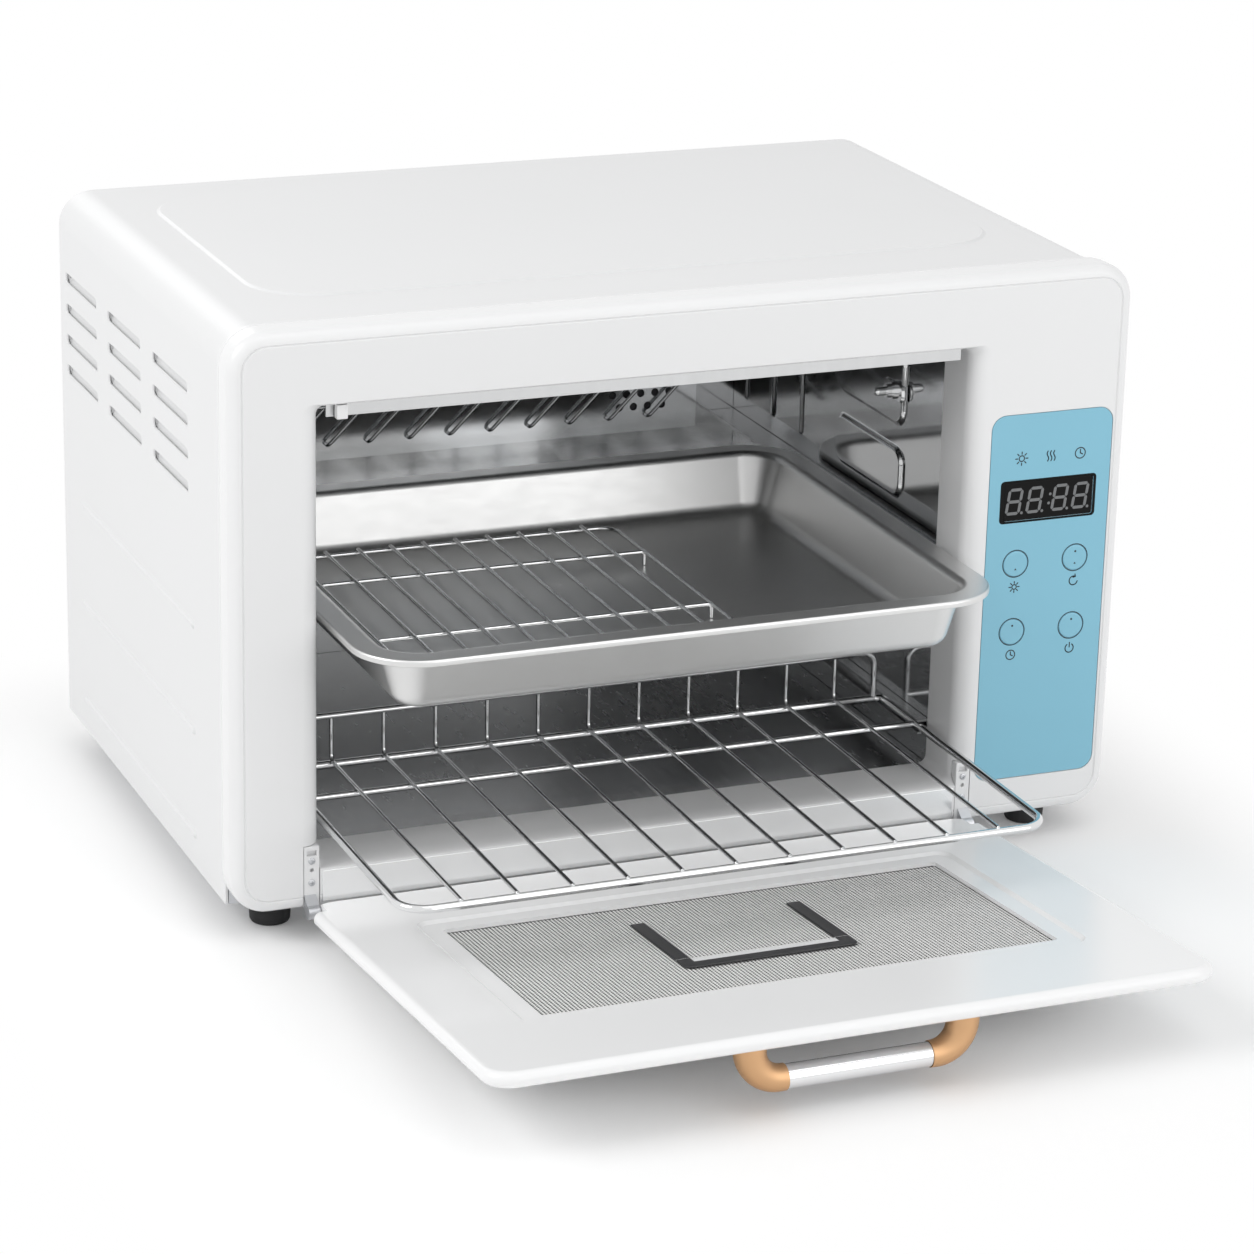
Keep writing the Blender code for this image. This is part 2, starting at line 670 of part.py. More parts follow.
def front_frame(parent, material):
    solid = front_frame_solid()
    left, right, bottom, top = board_edges()
    bosses = []
    for across in (left + BOSS_INSET, right - BOSS_INSET):
        for up in (bottom + BOSS_INSET, top - BOSS_INSET):
            bosses.append(rod("Y", across, up, BOSS_RADIUS, FRAME_FACE / 2, BOARD_DEPTH - GAP))
    solid = fuse(solid, *bosses)
    recess = rounded(
        PANEL_LEFT - GAP, PANEL_RIGHT + GAP, PANEL_BOTTOM - GAP, PANEL_TOP + GAP, PANEL_CORNER_RADIUS + GAP
    )
    cutters = [prism(recess, "Y", -OVERRUN, PANEL_RECESS)]
    x0, x1, z0, z1 = display_edges(0)
    cutters.append(box(x0, x1, -OVERRUN, FRAME_FACE + OVERRUN, z0, z1))
    bore_floor = KEY_SHEET - KEY_PROUD + KEY_TRAVEL + GAP
    for _, across, up in key_places():
        bore = KEY_RADIUS + GAP
        cutters.append(rod("Y", across, up, bore, -OVERRUN, bore_floor, KEY_SIDES))
        cutters.append(rod("Y", across, up, KEY_STEM_RADIUS + GAP, 0, FRAME_FACE + OVERRUN, KEY_SIDES))
    for _, outer, inward in hinge_sides():
        ends = sorted((outer - GAP * inward, outer + (HINGE_BLOCK_WIDTH + GAP) * inward))
        low = BASE_Z + HINGE_BLOCK_RISE - GAP
        high = low + HINGE_BLOCK_HEIGHT + 2 * GAP
        cutters.append(box(ends[0], ends[1], -OVERRUN, HINGE_BLOCK_DEPTH + 2 * GAP, low, high))
    x0, x1, y0, y1 = sensor_edges(0)
    cutters.append(box(x0, x1, y0, y1, OPENING_TOP - OVERRUN, OPENING_TOP + COLLAR_WALL + OVERRUN))
    piece("front_frame", cut(solid, *cutters), material, parent)


# Shell, rear panel, base and feet


def shell_outline():
    """The bent sheet seen from the front: up the left side, across the top and down the right side."""
    outer = []
    inner = []
    for edge, offset in ((outer, 0), (inner, SHELL_SHEET)):
        radius = SHELL_CORNER_RADIUS - offset
        edge.append((SHELL_LEFT + offset, BASE_Z))
        for centre, start in ((SHELL_LEFT + SHELL_CORNER_RADIUS, 180), (SHELL_RIGHT - SHELL_CORNER_RADIUS, 90)):
            for step in range(CORNER_STEPS + 2):
                angle = math.radians(start - 90 * step / (CORNER_STEPS + 1))
                height = SHELL_TOP - SHELL_CORNER_RADIUS + radius * math.sin(angle)
                edge.append((centre + radius * math.cos(angle), height))
        edge.append((SHELL_RIGHT - offset, BASE_Z))
    return outer + inner[::-1]


def raised_pad(axis, edges, radius, slope, low, high, steps=CORNER_STEPS):
    """A pad with sloping sides: full size at depth low and smaller by the slope at depth high."""
    a0, a1, b0, b1 = edges
    rings = []
    for depth, inset in ((low, 0), (high, slope)):
        outline = rounded(a0 + inset, a1 - inset, b0 + inset, b1 - inset, max(radius - inset, slope), steps)
        rings.append([point(axis, a, b, depth) for a, b in outline])
    return loft(rings)


def louvre_fin(side, inward, front, top):
    """The tongue of one louvre: it hangs inwards and down from the slot's top edge."""
    low = top - LOUVRE_FIN_DROP
    outline = (
        (side, top + LOUVRE_FIN_SHEET),
        (side, top),
        (side + inward * LOUVRE_FIN_REACH, low),
        (side + inward * LOUVRE_FIN_REACH, low + LOUVRE_FIN_SHEET),
    )
    return prism(outline, "Y", front, front + LOUVRE_LENGTH)


def outer_shell(parent, material):
    solid = prism(shell_outline(), "Y", SHELL_FRONT, BODY_DEPTH)
    edges = (
        SHELL_LEFT + EMBOSS_SIDE_MARGIN,
        SHELL_RIGHT - EMBOSS_SIDE_MARGIN,
        EMBOSS_FRONT_MARGIN,
        BODY_DEPTH - EMBOSS_REAR_MARGIN,
    )
    below = SHELL_TOP - SHELL_SHEET / 2
    pad = raised_pad("Z", edges, EMBOSS_CORNER_RADIUS, EMBOSS_SLOPE, below, SHELL_TOP + EMBOSS_HEIGHT)
    solid = fuse(solid, pad)
    inside = tuple(edge + SHELL_SHEET * sign for edge, sign in zip(edges, (1, -1, 1, -1)))
    floor = SHELL_TOP - SHELL_SHEET - OVERRUN
    ceiling = SHELL_TOP - SHELL_SHEET + EMBOSS_HEIGHT
    hollow = raised_pad("Z", inside, EMBOSS_CORNER_RADIUS, EMBOSS_SLOPE, floor, ceiling)
    cutters = [hollow]
    fins = []
    ribs = []
    for side, inward in ((SHELL_LEFT, 1), (SHELL_RIGHT, -1)):
        through = sorted((side - OVERRUN * inward, side + (SHELL_SHEET + OVERRUN) * inward))
        for row in range(LOUVRE_ROWS):
            top = SHELL_TOP - LOUVRE_TOP_MARGIN - row * LOUVRE_ROW_PITCH
            for column in range(LOUVRE_COLUMNS):
                front = LOUVRE_FRONT_MARGIN + column * LOUVRE_COLUMN_PITCH
                slot = box(through[0], through[1], front, front + LOUVRE_LENGTH, top - LOUVRE_HEIGHT, top)
                cutters.append(slot)
                fins.append(louvre_fin(side + inward * SHELL_SHEET / 2, inward, front, top))
        for rib in range(RIB_COUNT):
            middle = BASE_Z + RIB_BOTTOM_MARGIN + rib * RIB_PITCH
            low = middle - RIB_WIDTH / 2
            high = middle + RIB_WIDTH / 2
            back = RIB_FRONT_MARGIN + RIB_LENGTH
            base = side + inward * SHELL_SHEET / 2
            top = side - inward * RIB_HEIGHT
            edges = (RIB_FRONT_MARGIN, back, low, high)
            ribs.append(raised_pad("X", edges, RIB_WIDTH, RIB_WIDTH / 4, base, top, steps=2))
    solid = fuse(cut(solid, *cutters), *fins, *ribs)
    piece("outer_shell", solid, material, parent)


def rear_panel(parent, material):
    low = BASE_Z
    outline = rounded(INNER_LEFT, INNER_RIGHT, low - SHELL_CORNER_RADIUS, INNER_TOP, SHELL_CORNER_RADIUS)
    panel = prism(outline, "Y", REAR_PANEL_FRONT, REAR_PANEL_BACK)
    below = box(
        INNER_LEFT - OVERRUN, INNER_RIGHT + OVERRUN, REAR_PANEL_FRONT - OVERRUN, REAR_PANEL_BACK + OVERRUN,
        low - SHELL_CORNER_RADIUS - OVERRUN, low,
    )
    cutters = [below]
    middle = FRAME_TOP - VENT_TOP_MARGIN
    for side in (-1, 1):
        centre = OPENING_CENTRE + side * OPENING_WIDTH / 4
        for row in range(VENT_SLOT_COUNT):
            top = middle - row * VENT_SLOT_PITCH
            half = VENT_SLOT_LENGTH / 2
            slot = rounded(centre - half, centre + half, top - VENT_SLOT_HEIGHT, top, VENT_SLOT_HEIGHT / 2, 2)
            cutters.append(prism(slot, "Y", REAR_PANEL_FRONT - OVERRUN, REAR_PANEL_BACK + OVERRUN))
    fan_z = FRAME_TOP - FAN_TOP_MARGIN - FAN_WIDTH / 2
    through = (REAR_PANEL_FRONT - OVERRUN, REAR_PANEL_BACK + OVERRUN)
    cutters.append(rod("Y", BAY_CENTRE, fan_z, GRILLE_HOLE_RADIUS, *through, sides=8))
    for ring in range(1, GRILLE_RINGS + 1):
        radius = ring * FAN_BORE_RADIUS / (GRILLE_RINGS + 0.5)
        for i in range(6 * ring):
            angle = 2 * math.pi * i / (6 * ring)
            across = BAY_CENTRE + radius * math.cos(angle)
            up = fan_z + radius * math.sin(angle)
            cutters.append(rod("Y", across, up, GRILLE_HOLE_RADIUS, *through, sides=8))
    gland_z = BASE_Z + GLAND_RISE
    cutters.append(rod("Y", BAY_CENTRE, gland_z, GLAND_BARREL_RADIUS + GAP, *through, sides=24))
    piece("rear_panel", cut(panel, *cutters), material, parent)


def foot_places():
    places = []
    for side, across in (("left", INNER_LEFT + FOOT_SIDE_MARGIN), ("right", INNER_RIGHT - FOOT_SIDE_MARGIN)):
        for end, along in (("front", SHELL_FRONT + FOOT_END_MARGIN), ("rear", REAR_PANEL_FRONT - 2 * FOOT_END_MARGIN)):
            places.append((f"foot_{end}_{side}", across, along))
    return places


def base_pan(parent, material):
    front = SHELL_FRONT
    back = REAR_PANEL_FRONT - GAP
    solid = box(INNER_LEFT, INNER_RIGHT, front, back, BASE_Z, BASE_Z + BASE_RIM_HEIGHT)
    inside = box(
        INNER_LEFT + SHELL_SHEET, INNER_RIGHT - SHELL_SHEET, front + SHELL_SHEET, back - SHELL_SHEET,
        BASE_Z + SHELL_SHEET, BASE_Z + BASE_RIM_HEIGHT + OVERRUN,
    )
    holes = []
    for _, across, along in foot_places():
        radius = FOOT_STEM_RADIUS + GAP
        holes.append(rod("Z", across, along, radius, BASE_Z - OVERRUN, BASE_Z + SHELL_SHEET + OVERRUN))
    piece("base_pan", cut(solid, inside, *holes), material, parent)


def feet(parent, material):
    top = BASE_Z - GAP
    round_edge = FOOT_HEIGHT / 8
    stations = (
        (0, FOOT_TIP_RADIUS - round_edge),
        (round_edge, FOOT_TIP_RADIUS),
        (top, FOOT_RADIUS),
        (top, FOOT_STEM_RADIUS),
        (BASE_Z + SHELL_SHEET + FOOT_STEM_HEIGHT / 2, FOOT_STEM_RADIUS),
        (BASE_Z + SHELL_SHEET + FOOT_STEM_HEIGHT, FOOT_STEM_RADIUS / 2),
    )
    for name, across, along in foot_places():
        piece(name, turned("Z", across, along, stations, 16), material, parent)


# Chamber liner


def vent_holes(low, high):
    """A cluster of round holes at the right of the chamber's back wall."""
    centre_x = CHAMBER_RIGHT - VENT_CENTRE_SIDE_MARGIN
    centre_z = BASE_Z + VENT_CENTRE_RISE
    row_rise = VENT_HOLE_PITCH * math.sin(math.radians(60))
    holes = []
    for row in (-1, 0, 1):
        count = 5 - abs(row)
        for i in range(count):
            across = centre_x + (i - (count - 1) / 2) * VENT_HOLE_PITCH
            up = centre_z + row * row_rise
            holes.append(rod("Y", across, up, VENT_HOLE_RADIUS, low, high, VENT_HOLE_SIDES))
    return holes


def side_wall(name, face, outward, parent, material, hole):
    """A pressed side wall: two pads and upright beads stand into the chamber."""
    back = CHAMBER_DEPTH - GAP
    low = CHAMBER_FLOOR - LINER_SHEET
    high = CHAMBER_TOP + LINER_SHEET
    plate = sorted((face, face + outward * LINER_SHEET))
    solid = box(plate[0], plate[1], CHAMBER_FRONT, back, low, high)
    root = face + outward * LINER_SHEET / 2
    front = CHAMBER_FRONT + PAD_FRONT_MARGIN
    pad_low = BASE_Z + LOWER_PAD_RISE + OPENING_BOTTOM_MARGIN
    upper_low = pad_low + LOWER_PAD_HEIGHT + UPPER_PAD_GAP
    pads = []
    for bottom, height in ((pad_low, LOWER_PAD_HEIGHT), (upper_low, UPPER_PAD_HEIGHT)):
        edges = (front, front + PAD_LENGTH, bottom, bottom + height)
        tip = face - outward * PAD_HEIGHT
        pads.append(raised_pad("X", edges, PAD_CORNER_RADIUS, PAD_SLOPE, root, tip, steps=3))
    for i in range(BEAD_COUNT):
        middle = back - BEAD_REAR_MARGIN - i * BEAD_PITCH
        edges = (middle - BEAD_WIDTH / 2, middle + BEAD_WIDTH / 2, pad_low, pad_low + BEAD_LENGTH)
        tip = face - outward * BEAD_HEIGHT
        pads.append(raised_pad("X", edges, BEAD_WIDTH, BEAD_WIDTH / 4, root, tip, steps=2))
    solid = fuse(solid, *pads)
    if hole:
        ends = sorted((face + outward * (LINER_SHEET + OVERRUN), face - outward * (PAD_HEIGHT + OVERRUN)))
        probe_y, probe_z = probe_place()
        solid = cut(solid, rod("X", probe_y, probe_z, PROBE_RADIUS + GAP, ends[0], ends[1], 12))
    piece(name, solid, material, parent)


def chamber_liner(parent, material):
    low = CHAMBER_FLOOR - LINER_SHEET
    high = CHAMBER_TOP + LINER_SHEET
    side_wall("liner_left", CHAMBER_LEFT, -1, parent, material, hole=False)
    side_wall("liner_right", CHAMBER_RIGHT, 1, parent, material, hole=True)
    left = CHAMBER_LEFT + GAP
    right = CHAMBER_RIGHT - GAP
    back = CHAMBER_DEPTH - GAP
    floor = box(left, right, CHAMBER_FRONT, back, low, CHAMBER_FLOOR)
    piece("liner_floor", floor, material, parent)
    ceiling = box(left, right, CHAMBER_FRONT, back, CHAMBER_TOP, high)
    piece("liner_ceiling", ceiling, material, parent)
    rear = CHAMBER_DEPTH + LINER_SHEET
    wall = box(CHAMBER_LEFT - LINER_SHEET, CHAMBER_RIGHT + LINER_SHEET, CHAMBER_DEPTH, rear, low, high)
    wall = cut(wall, *vent_holes(CHAMBER_DEPTH - OVERRUN, rear + OVERRUN))
    piece("liner_back", wall, material, parent)


def opening_lip(parent, material):
    left = OPENING_LEFT + LIP_END_MARGIN
    right = OPENING_RIGHT - LIP_END_MARGIN
    top = OPENING_TOP - GAP
    outline = (
        (LIP_SETBACK, top - LIP_HEIGHT),
        (LIP_SETBACK + LIP_SHEET, top - LIP_HEIGHT),
        (LIP_SETBACK + LIP_SHEET, top - LIP_SHEET),
        (COLLAR_DEPTH, top - LIP_SHEET),
        (COLLAR_DEPTH, top),
        (LIP_SETBACK, top),
    )
    piece("opening_lip", prism(outline, "X", left, right), material, parent)


def door_sensor(parent, material):
    x0, x1, y0, y1 = sensor_edges(GAP)
    nose_top = OPENING_TOP + COLLAR_WALL + SENSOR_HEAD_HEIGHT / 2
    nose = box(x0, x1, y0, y1, OPENING_TOP - SENSOR_DROP, nose_top)
    centre = (x0 + x1) / 2
    half = SENSOR_HEAD_WIDTH / 2
    head_front = FRAME_FACE + GAP
    head_low = OPENING_TOP + COLLAR_WALL + GAP
    head = box(
        centre - half, centre + half, head_front, head_front + SENSOR_HEAD_DEPTH,
        head_low, head_low + SENSOR_HEAD_HEIGHT,
    )
    piece("door_sensor", fuse(head, cut(nose, box(
        x0 - OVERRUN, x1 + OVERRUN, y0 - OVERRUN, head_front, OPENING_TOP + GAP, nose_top + OVERRUN,
    ))), material, parent)


# Control column


def control_membrane(parent, material):
    outline = rounded(PANEL_LEFT, PANEL_RIGHT, PANEL_BOTTOM, PANEL_TOP, PANEL_CORNER_RADIUS)
    sheet = prism(outline, "Y", 0, PANEL_SHEET)
    x0, x1, z0, z1 = display_edges(0)
    cutters = [box(x0, x1, -OVERRUN, PANEL_SHEET + OVERRUN, z0, z1)]
    for _, across, up in key_places():
        cutters.append(rod("Y", across, up, KEY_RADIUS + GAP, -OVERRUN, PANEL_SHEET + OVERRUN, KEY_SIDES))
    piece("control_membrane", cut(sheet, *cutters), material, parent)


def display(parent, lens_material, module_material):
    x0, x1, z0, z1 = display_edges(GAP)
    lens_back = GAP + DISPLAY_LENS_SHEET
    piece("display_window", box(x0, x1, GAP, lens_back, z0, z1), lens_material, parent)
    module = box(x0, x1, lens_back + GAP, BOARD_DEPTH - GAP, z0, z1)
    piece("display_module", module, module_material, parent)


def control_board(parent, material):
    left, right, bottom, top = board_edges()
    board = box(left, right, BOARD_DEPTH, BOARD_DEPTH + BOARD_SHEET, bottom, top)
    switches = []
    half = SWITCH_WIDTH / 2
    for _, across, up in key_places():
        front = BOARD_DEPTH - SWITCH_HEIGHT
        back = BOARD_DEPTH + BOARD_SHEET / 2
        switches.append(box(across - half, across + half, front, back, up - half, up + half))
    piece("control_board", fuse(board, *switches), material, parent)


def keys(parent, material):
    """Four sprung keys; each origin lies on its own axis of travel."""
    stem_end = BOARD_DEPTH - SWITCH_HEIGHT - KEY_TRAVEL - GAP
    cap_back = KEY_SHEET - KEY_PROUD
    edge = KEY_PROUD / 2
    stations = (
        (-KEY_PROUD, KEY_RADIUS - edge),
        (-KEY_PROUD + edge, KEY_RADIUS),
        (cap_back, KEY_RADIUS),
        (cap_back, KEY_STEM_RADIUS),
        (stem_end, KEY_STEM_RADIUS),
    )
    for name, across, up in key_places():
        piece(name, turned("Y", 0, 0, stations, KEY_SIDES), material, parent, (across, 0, up))


# Lamp, reflector, guard and probe


def lamp_place():
    return CHAMBER_DEPTH - LAMP_REAR_MARGIN, CHAMBER_TOP - LAMP_DROP


def probe_place():
    return CHAMBER_FRONT + PROBE_DEPTH_MARGIN, CHAMBER_TOP - PROBE_DROP


def lamp(parent, glass, holder_material):
    y, z = lamp_place()
    half = LAMP_LENGTH / 2
    shoulder = half - LAMP_CAP_LENGTH
    tube_radius = LAMP_RADIUS - LAMP_PIN_RADIUS / 2
    stations = (
        (-half, LAMP_RADIUS),
        (-shoulder, LAMP_RADIUS),
        (-shoulder, tube_radius),
        (shoulder, tube_radius),
        (shoulder, LAMP_RADIUS),
        (half, LAMP_RADIUS),
    )
    body = turned("X", y, z, [(OPENING_CENTRE + depth, radius) for depth, radius in stations], 20)
    pins = []
    for end in (-1, 1):
        ends = sorted((OPENING_CENTRE + end * (half - LAMP_PIN_LENGTH), OPENING_CENTRE + end * (half + LAMP_PIN_LENGTH)))
        for side in (-1, 1):
            pins.append(rod("X", y, z + side * LAMP_PIN_PITCH / 2, LAMP_PIN_RADIUS, ends[0], ends[1], 8))
    piece("uv_lamp", fuse(body, *pins), glass, parent)
    top = CHAMBER_TOP - REFLECTOR_SHEET - 2 * GAP
    for name, end in (("left", -1), ("right", 1)):
        inner = OPENING_CENTRE + end * (half - HOLDER_THICKNESS / 3)
        outer = inner + end * HOLDER_THICKNESS
        ends = sorted((inner, outer))
        low = z - HOLDER_BELOW_LAMP
        outline = rounded(y - HOLDER_WIDTH / 2, y + HOLDER_WIDTH / 2, low, top, HOLDER_WIDTH / 6, 3)
        block = prism(outline, "X", ends[0], ends[1])
        bottom = OPENING_CENTRE + end * (half + GAP)
        bore = sorted((inner - end * OVERRUN, bottom))
        cutters = [rod("X", y, z, LAMP_RADIUS + GAP, bore[0], bore[1], 20)]
        deep = sorted((bottom - end * OVERRUN, OPENING_CENTRE + end * (half + LAMP_PIN_LENGTH + GAP)))
        for side in (-1, 1):
            pin_z = z + side * LAMP_PIN_PITCH / 2
            cutters.append(rod("X", y, pin_z, LAMP_PIN_RADIUS + GAP, deep[0], deep[1], 8))
        piece(f"lamp_holder_{name}", cut(block, *cutters), holder_material, parent)


def lamp_reflector(parent, material):
    back = CHAMBER_DEPTH - GAP
    top = CHAMBER_TOP - GAP
    sheet = REFLECTOR_SHEET
    low = BASE_Z + REFLECTOR_RISE
    chamfer = REFLECTOR_CHAMFER
    front = back - REFLECTOR_REACH
    slant = sheet * math.tan(math.radians(22.5))
    outline = (
        (back, low),
        (back, top - chamfer),
        (back - chamfer, top),
        (front, top),
        (front, top - sheet),
        (back - chamfer - slant, top - sheet),
        (back - sheet, top - chamfer - slant),
        (back - sheet, low),
    )
    left = CHAMBER_LEFT + REFLECTOR_SIDE_MARGIN
    right = CHAMBER_RIGHT - REFLECTOR_SIDE_MARGIN
    solid = prism(outline, "X", left, right)
    solid = cut(solid, *vent_holes(back - sheet - OVERRUN, CHAMBER_DEPTH + OVERRUN))
    piece("lamp_reflector", solid, material, parent)


def wire_guard(parent, material):
    """Slanting wires in front of the reflector, each hooked back towards it, under one long wire."""
    wire = GUARD_WIRE_RADIUS
    face = CHAMBER_DEPTH - REFLECTOR_SHEET - 2 * GAP
    front = face - GUARD_STAND_OFF
    low = BASE_Z + GUARD_RISE + OPENING_BOTTOM_MARGIN
    top = low + GUARD_HEIGHT
    right = CHAMBER_RIGHT - REFLECTOR_SIDE_MARGIN - GUARD_STAND_OFF
    first = right - GUARD_WIRE_COUNT * GUARD_PITCH
    rail = ((first, face, top), (first, front, top), (right, front, top), (right, face, top))
    solid = sweep(bend(rail, GUARD_BEND, 3), wire, 6)
    behind = front + 2 * wire - WELD
    hooks = []
    for i in range(GUARD_WIRE_COUNT):
        across = right - GUARD_BEND - i * GUARD_PITCH
        foot = across - GUARD_HEIGHT
        path = ((across + wire, behind, top + wire), (foot, behind, low), (foot, face, low))
        hooks.append(sweep(bend(path, GUARD_BEND, 2), wire, 5))
    piece("wire_guard", fuse(solid, *hooks), material, parent)


def temperature_probe(parent, material):
    y, z = probe_place()
    tip = CHAMBER_RIGHT - PAD_HEIGHT - PROBE_LENGTH / 2
    stations = (
        (tip, PROBE_RADIUS / 2),
        (tip + PROBE_RADIUS / 2, PROBE_RADIUS),
        (CHAMBER_RIGHT - PAD_HEIGHT - GAP - PROBE_CLIP_THICKNESS, PROBE_RADIUS),
        (CHAMBER_RIGHT - PAD_HEIGHT - GAP - PROBE_CLIP_THICKNESS, PROBE_CLIP_RADIUS),
        (CHAMBER_RIGHT - PAD_HEIGHT - GAP, PROBE_CLIP_RADIUS),
        (CHAMBER_RIGHT - PAD_HEIGHT - GAP, PROBE_RADIUS),
        (CHAMBER_RIGHT + LINER_SHEET + PROBE_LENGTH / 4, PROBE_RADIUS),
    )
    piece("temperature_probe", turned("X", y, z, stations, 12), material, parent)


# Service parts


def fan(parent, housing_material, rotor_material):
    centre_z = FRAME_TOP - FAN_TOP_MARGIN - FAN_WIDTH / 2
    back = REAR_PANEL_FRONT - GAP
    front = back - FAN_DEPTH
    half = FAN_WIDTH / 2
    outline = rounded(BAY_CENTRE - half, BAY_CENTRE + half, centre_z - half, centre_z + half, FAN_WIDTH / 20, 3)
    housing = prism(outline, "Y", front, back)
    housing = cut(housing, rod("Y", BAY_CENTRE, centre_z, FAN_BORE_RADIUS, front - OVERRUN, back + OVERRUN, 36))
    spider_front = back - FAN_SPIDER_THICKNESS
    hub = rod("Y", BAY_CENTRE, centre_z, FAN_HUB_RADIUS, spider_front, back, 24)
    strut = FAN_STRUT_WIDTH / 2
    reach = FAN_BORE_RADIUS + strut / 2
    upright = box(BAY_CENTRE - strut, BAY_CENTRE + strut, spider_front, back, centre_z - reach, centre_z + reach)
    level = box(BAY_CENTRE - reach, BAY_CENTRE + reach, spider_front, back, centre_z - strut, centre_z + strut)
    housing = fuse(housing, hub, upright, level)
    shaft_hole = rod(
        "Y", BAY_CENTRE, centre_z, FAN_SHAFT_RADIUS + GAP, spider_front - OVERRUN, back + OVERRUN, 16
    )
    piece("fan_housing", cut(housing, shaft_hole), housing_material, parent)

    hub_back = spider_front - 2 * GAP
    depth = FAN_DEPTH - FAN_SPIDER_THICKNESS - 4 * GAP
    hub_front = hub_back - depth
    middle = (hub_front + hub_back) / 2
    stations = (
        (hub_front - middle, FAN_HUB_RADIUS - FAN_BLADE_SHEET),
        (hub_front - middle + FAN_BLADE_SHEET, FAN_HUB_RADIUS),
        (hub_back - middle, FAN_HUB_RADIUS),
        (hub_back - middle, FAN_SHAFT_RADIUS),
        (back - middle - GAP, FAN_SHAFT_RADIUS),
    )
    rotor = turned("Y", 0, 0, stations, 24)
    blades = []
    tip = FAN_BORE_RADIUS - FAN_BLADE_CLEARANCE
    root = FAN_HUB_RADIUS - FAN_BLADE_SHEET
    chord = depth / 2 - FAN_BLADE_SHEET
    for i in range(FAN_BLADE_COUNT):
        turn = Matrix.Rotation(2 * math.pi * i / FAN_BLADE_COUNT, 3, "Y")
        rings = []
        for radius, pitch in ((root, 50), ((root + tip) / 2, 38), (tip, 30)):
            angle = math.radians(pitch)
            along = Vector((math.cos(angle), math.sin(angle), 0)) * chord
            across = Vector((-math.sin(angle), math.cos(angle), 0)) * FAN_BLADE_SHEET / 2
            centre = Vector((0, 0, radius))
            ring = (centre - along - across, centre + along - across, centre + along + across, centre - along + across)
            rings.append([turn @ corner for corner in ring])
        blades.append(loft(rings))
    piece("fan_rotor", fuse(rotor, *blades), rotor_material, parent, (BAY_CENTRE, middle, centre_z))


def power_board(parent, material):
    left = BAY_LEFT + POWER_BOARD_SIDE_MARGIN
    right = INNER_RIGHT - POWER_BOARD_SIDE_MARGIN
    front = POWER_BOARD_FRONT_MARGIN
    back = front + POWER_BOARD_LENGTH
    floor = BASE_Z + SHELL_SHEET
    low = floor + POWER_BOARD_RISE
    top = low + BOARD_SHEET
    root = top - BOARD_SHEET / 2
    board = box(left, right, front, back, low, top)
    posts = []
    for across in (left + BOSS_INSET, right - BOSS_INSET):
        for along in (front + BOSS_INSET, back - BOSS_INSET):
            posts.append(rod("Z", across, along, BOSS_RADIUS, floor + GAP, root, 12))
    size = TRANSFORMER_SIZE
    start = front + 2 * BOSS_INSET
    transformer = box(left + BOSS_INSET, left + BOSS_INSET + size, start, start + size, root, top + size * 0.8)
    relay_start = start + size + RELAY_SIZE / 2
    relay = box(
        left + BOSS_INSET, left + BOSS_INSET + RELAY_SIZE, relay_start, relay_start + RELAY_SIZE,
        root, top + RELAY_SIZE * 0.8,
    )
    can_x = right - BOSS_INSET - 2 * CAPACITOR_RADIUS
    cans = []
    for i in range(2):
        can_y = back - 2 * BOSS_INSET - CAPACITOR_RADIUS * (1 + 3 * i)
        cans.append(rod("Z", can_x, can_y, CAPACITOR_RADIUS, root, top + CAPACITOR_HEIGHT, 16))
    piece("power_board", fuse(board, *posts, transformer, relay, *cans), material, parent)


def lamp_ballast(parent, material):
    low = CHAMBER_TOP + LINER_SHEET + GAP
    front = CHAMBER_FRONT + BALLAST_SETBACK
    back = front + BALLAST_WIDTH
    half = BALLAST_LENGTH / 2
    ear = half + BALLAST_EAR_LENGTH
    can = box(OPENING_CENTRE - half, OPENING_CENTRE + half, front, back, low, low + BALLAST_HEIGHT)
    strap = box(
        OPENING_CENTRE - ear, OPENING_CENTRE + ear, front + BALLAST_WIDTH / 4, back - BALLAST_WIDTH / 4,
        low, low + BALLAST_EAR_SHEET,
    )
    piece("lamp_ballast", fuse(can, strap), material, parent)


def drying_heater(parent, material):
    """A flat heater behind the chamber's back wall, over its vent holes, with cooling ribs."""
    front = CHAMBER_DEPTH + LINER_SHEET + GAP
    right = CHAMBER_RIGHT - VENT_CENTRE_SIDE_MARGIN + HEATER_WIDTH / 4
    left = right - HEATER_WIDTH
    low = BASE_Z + HEATER_RISE
    plate = box(left, right, front, front + HEATER_THICKNESS / 2, low, low + HEATER_HEIGHT)
    ribs = []
    count = 8
    pitch = HEATER_WIDTH / count
    for i in range(count):
        start = left + pitch * (i + 0.25)
        ribs.append(box(
            start, start + pitch / 2, front + HEATER_THICKNESS / 4, front + HEATER_THICKNESS,
            low + HEATER_HEIGHT / 10, low + HEATER_HEIGHT * 0.9,
        ))
    piece("drying_heater", fuse(plate, *ribs), material, parent)


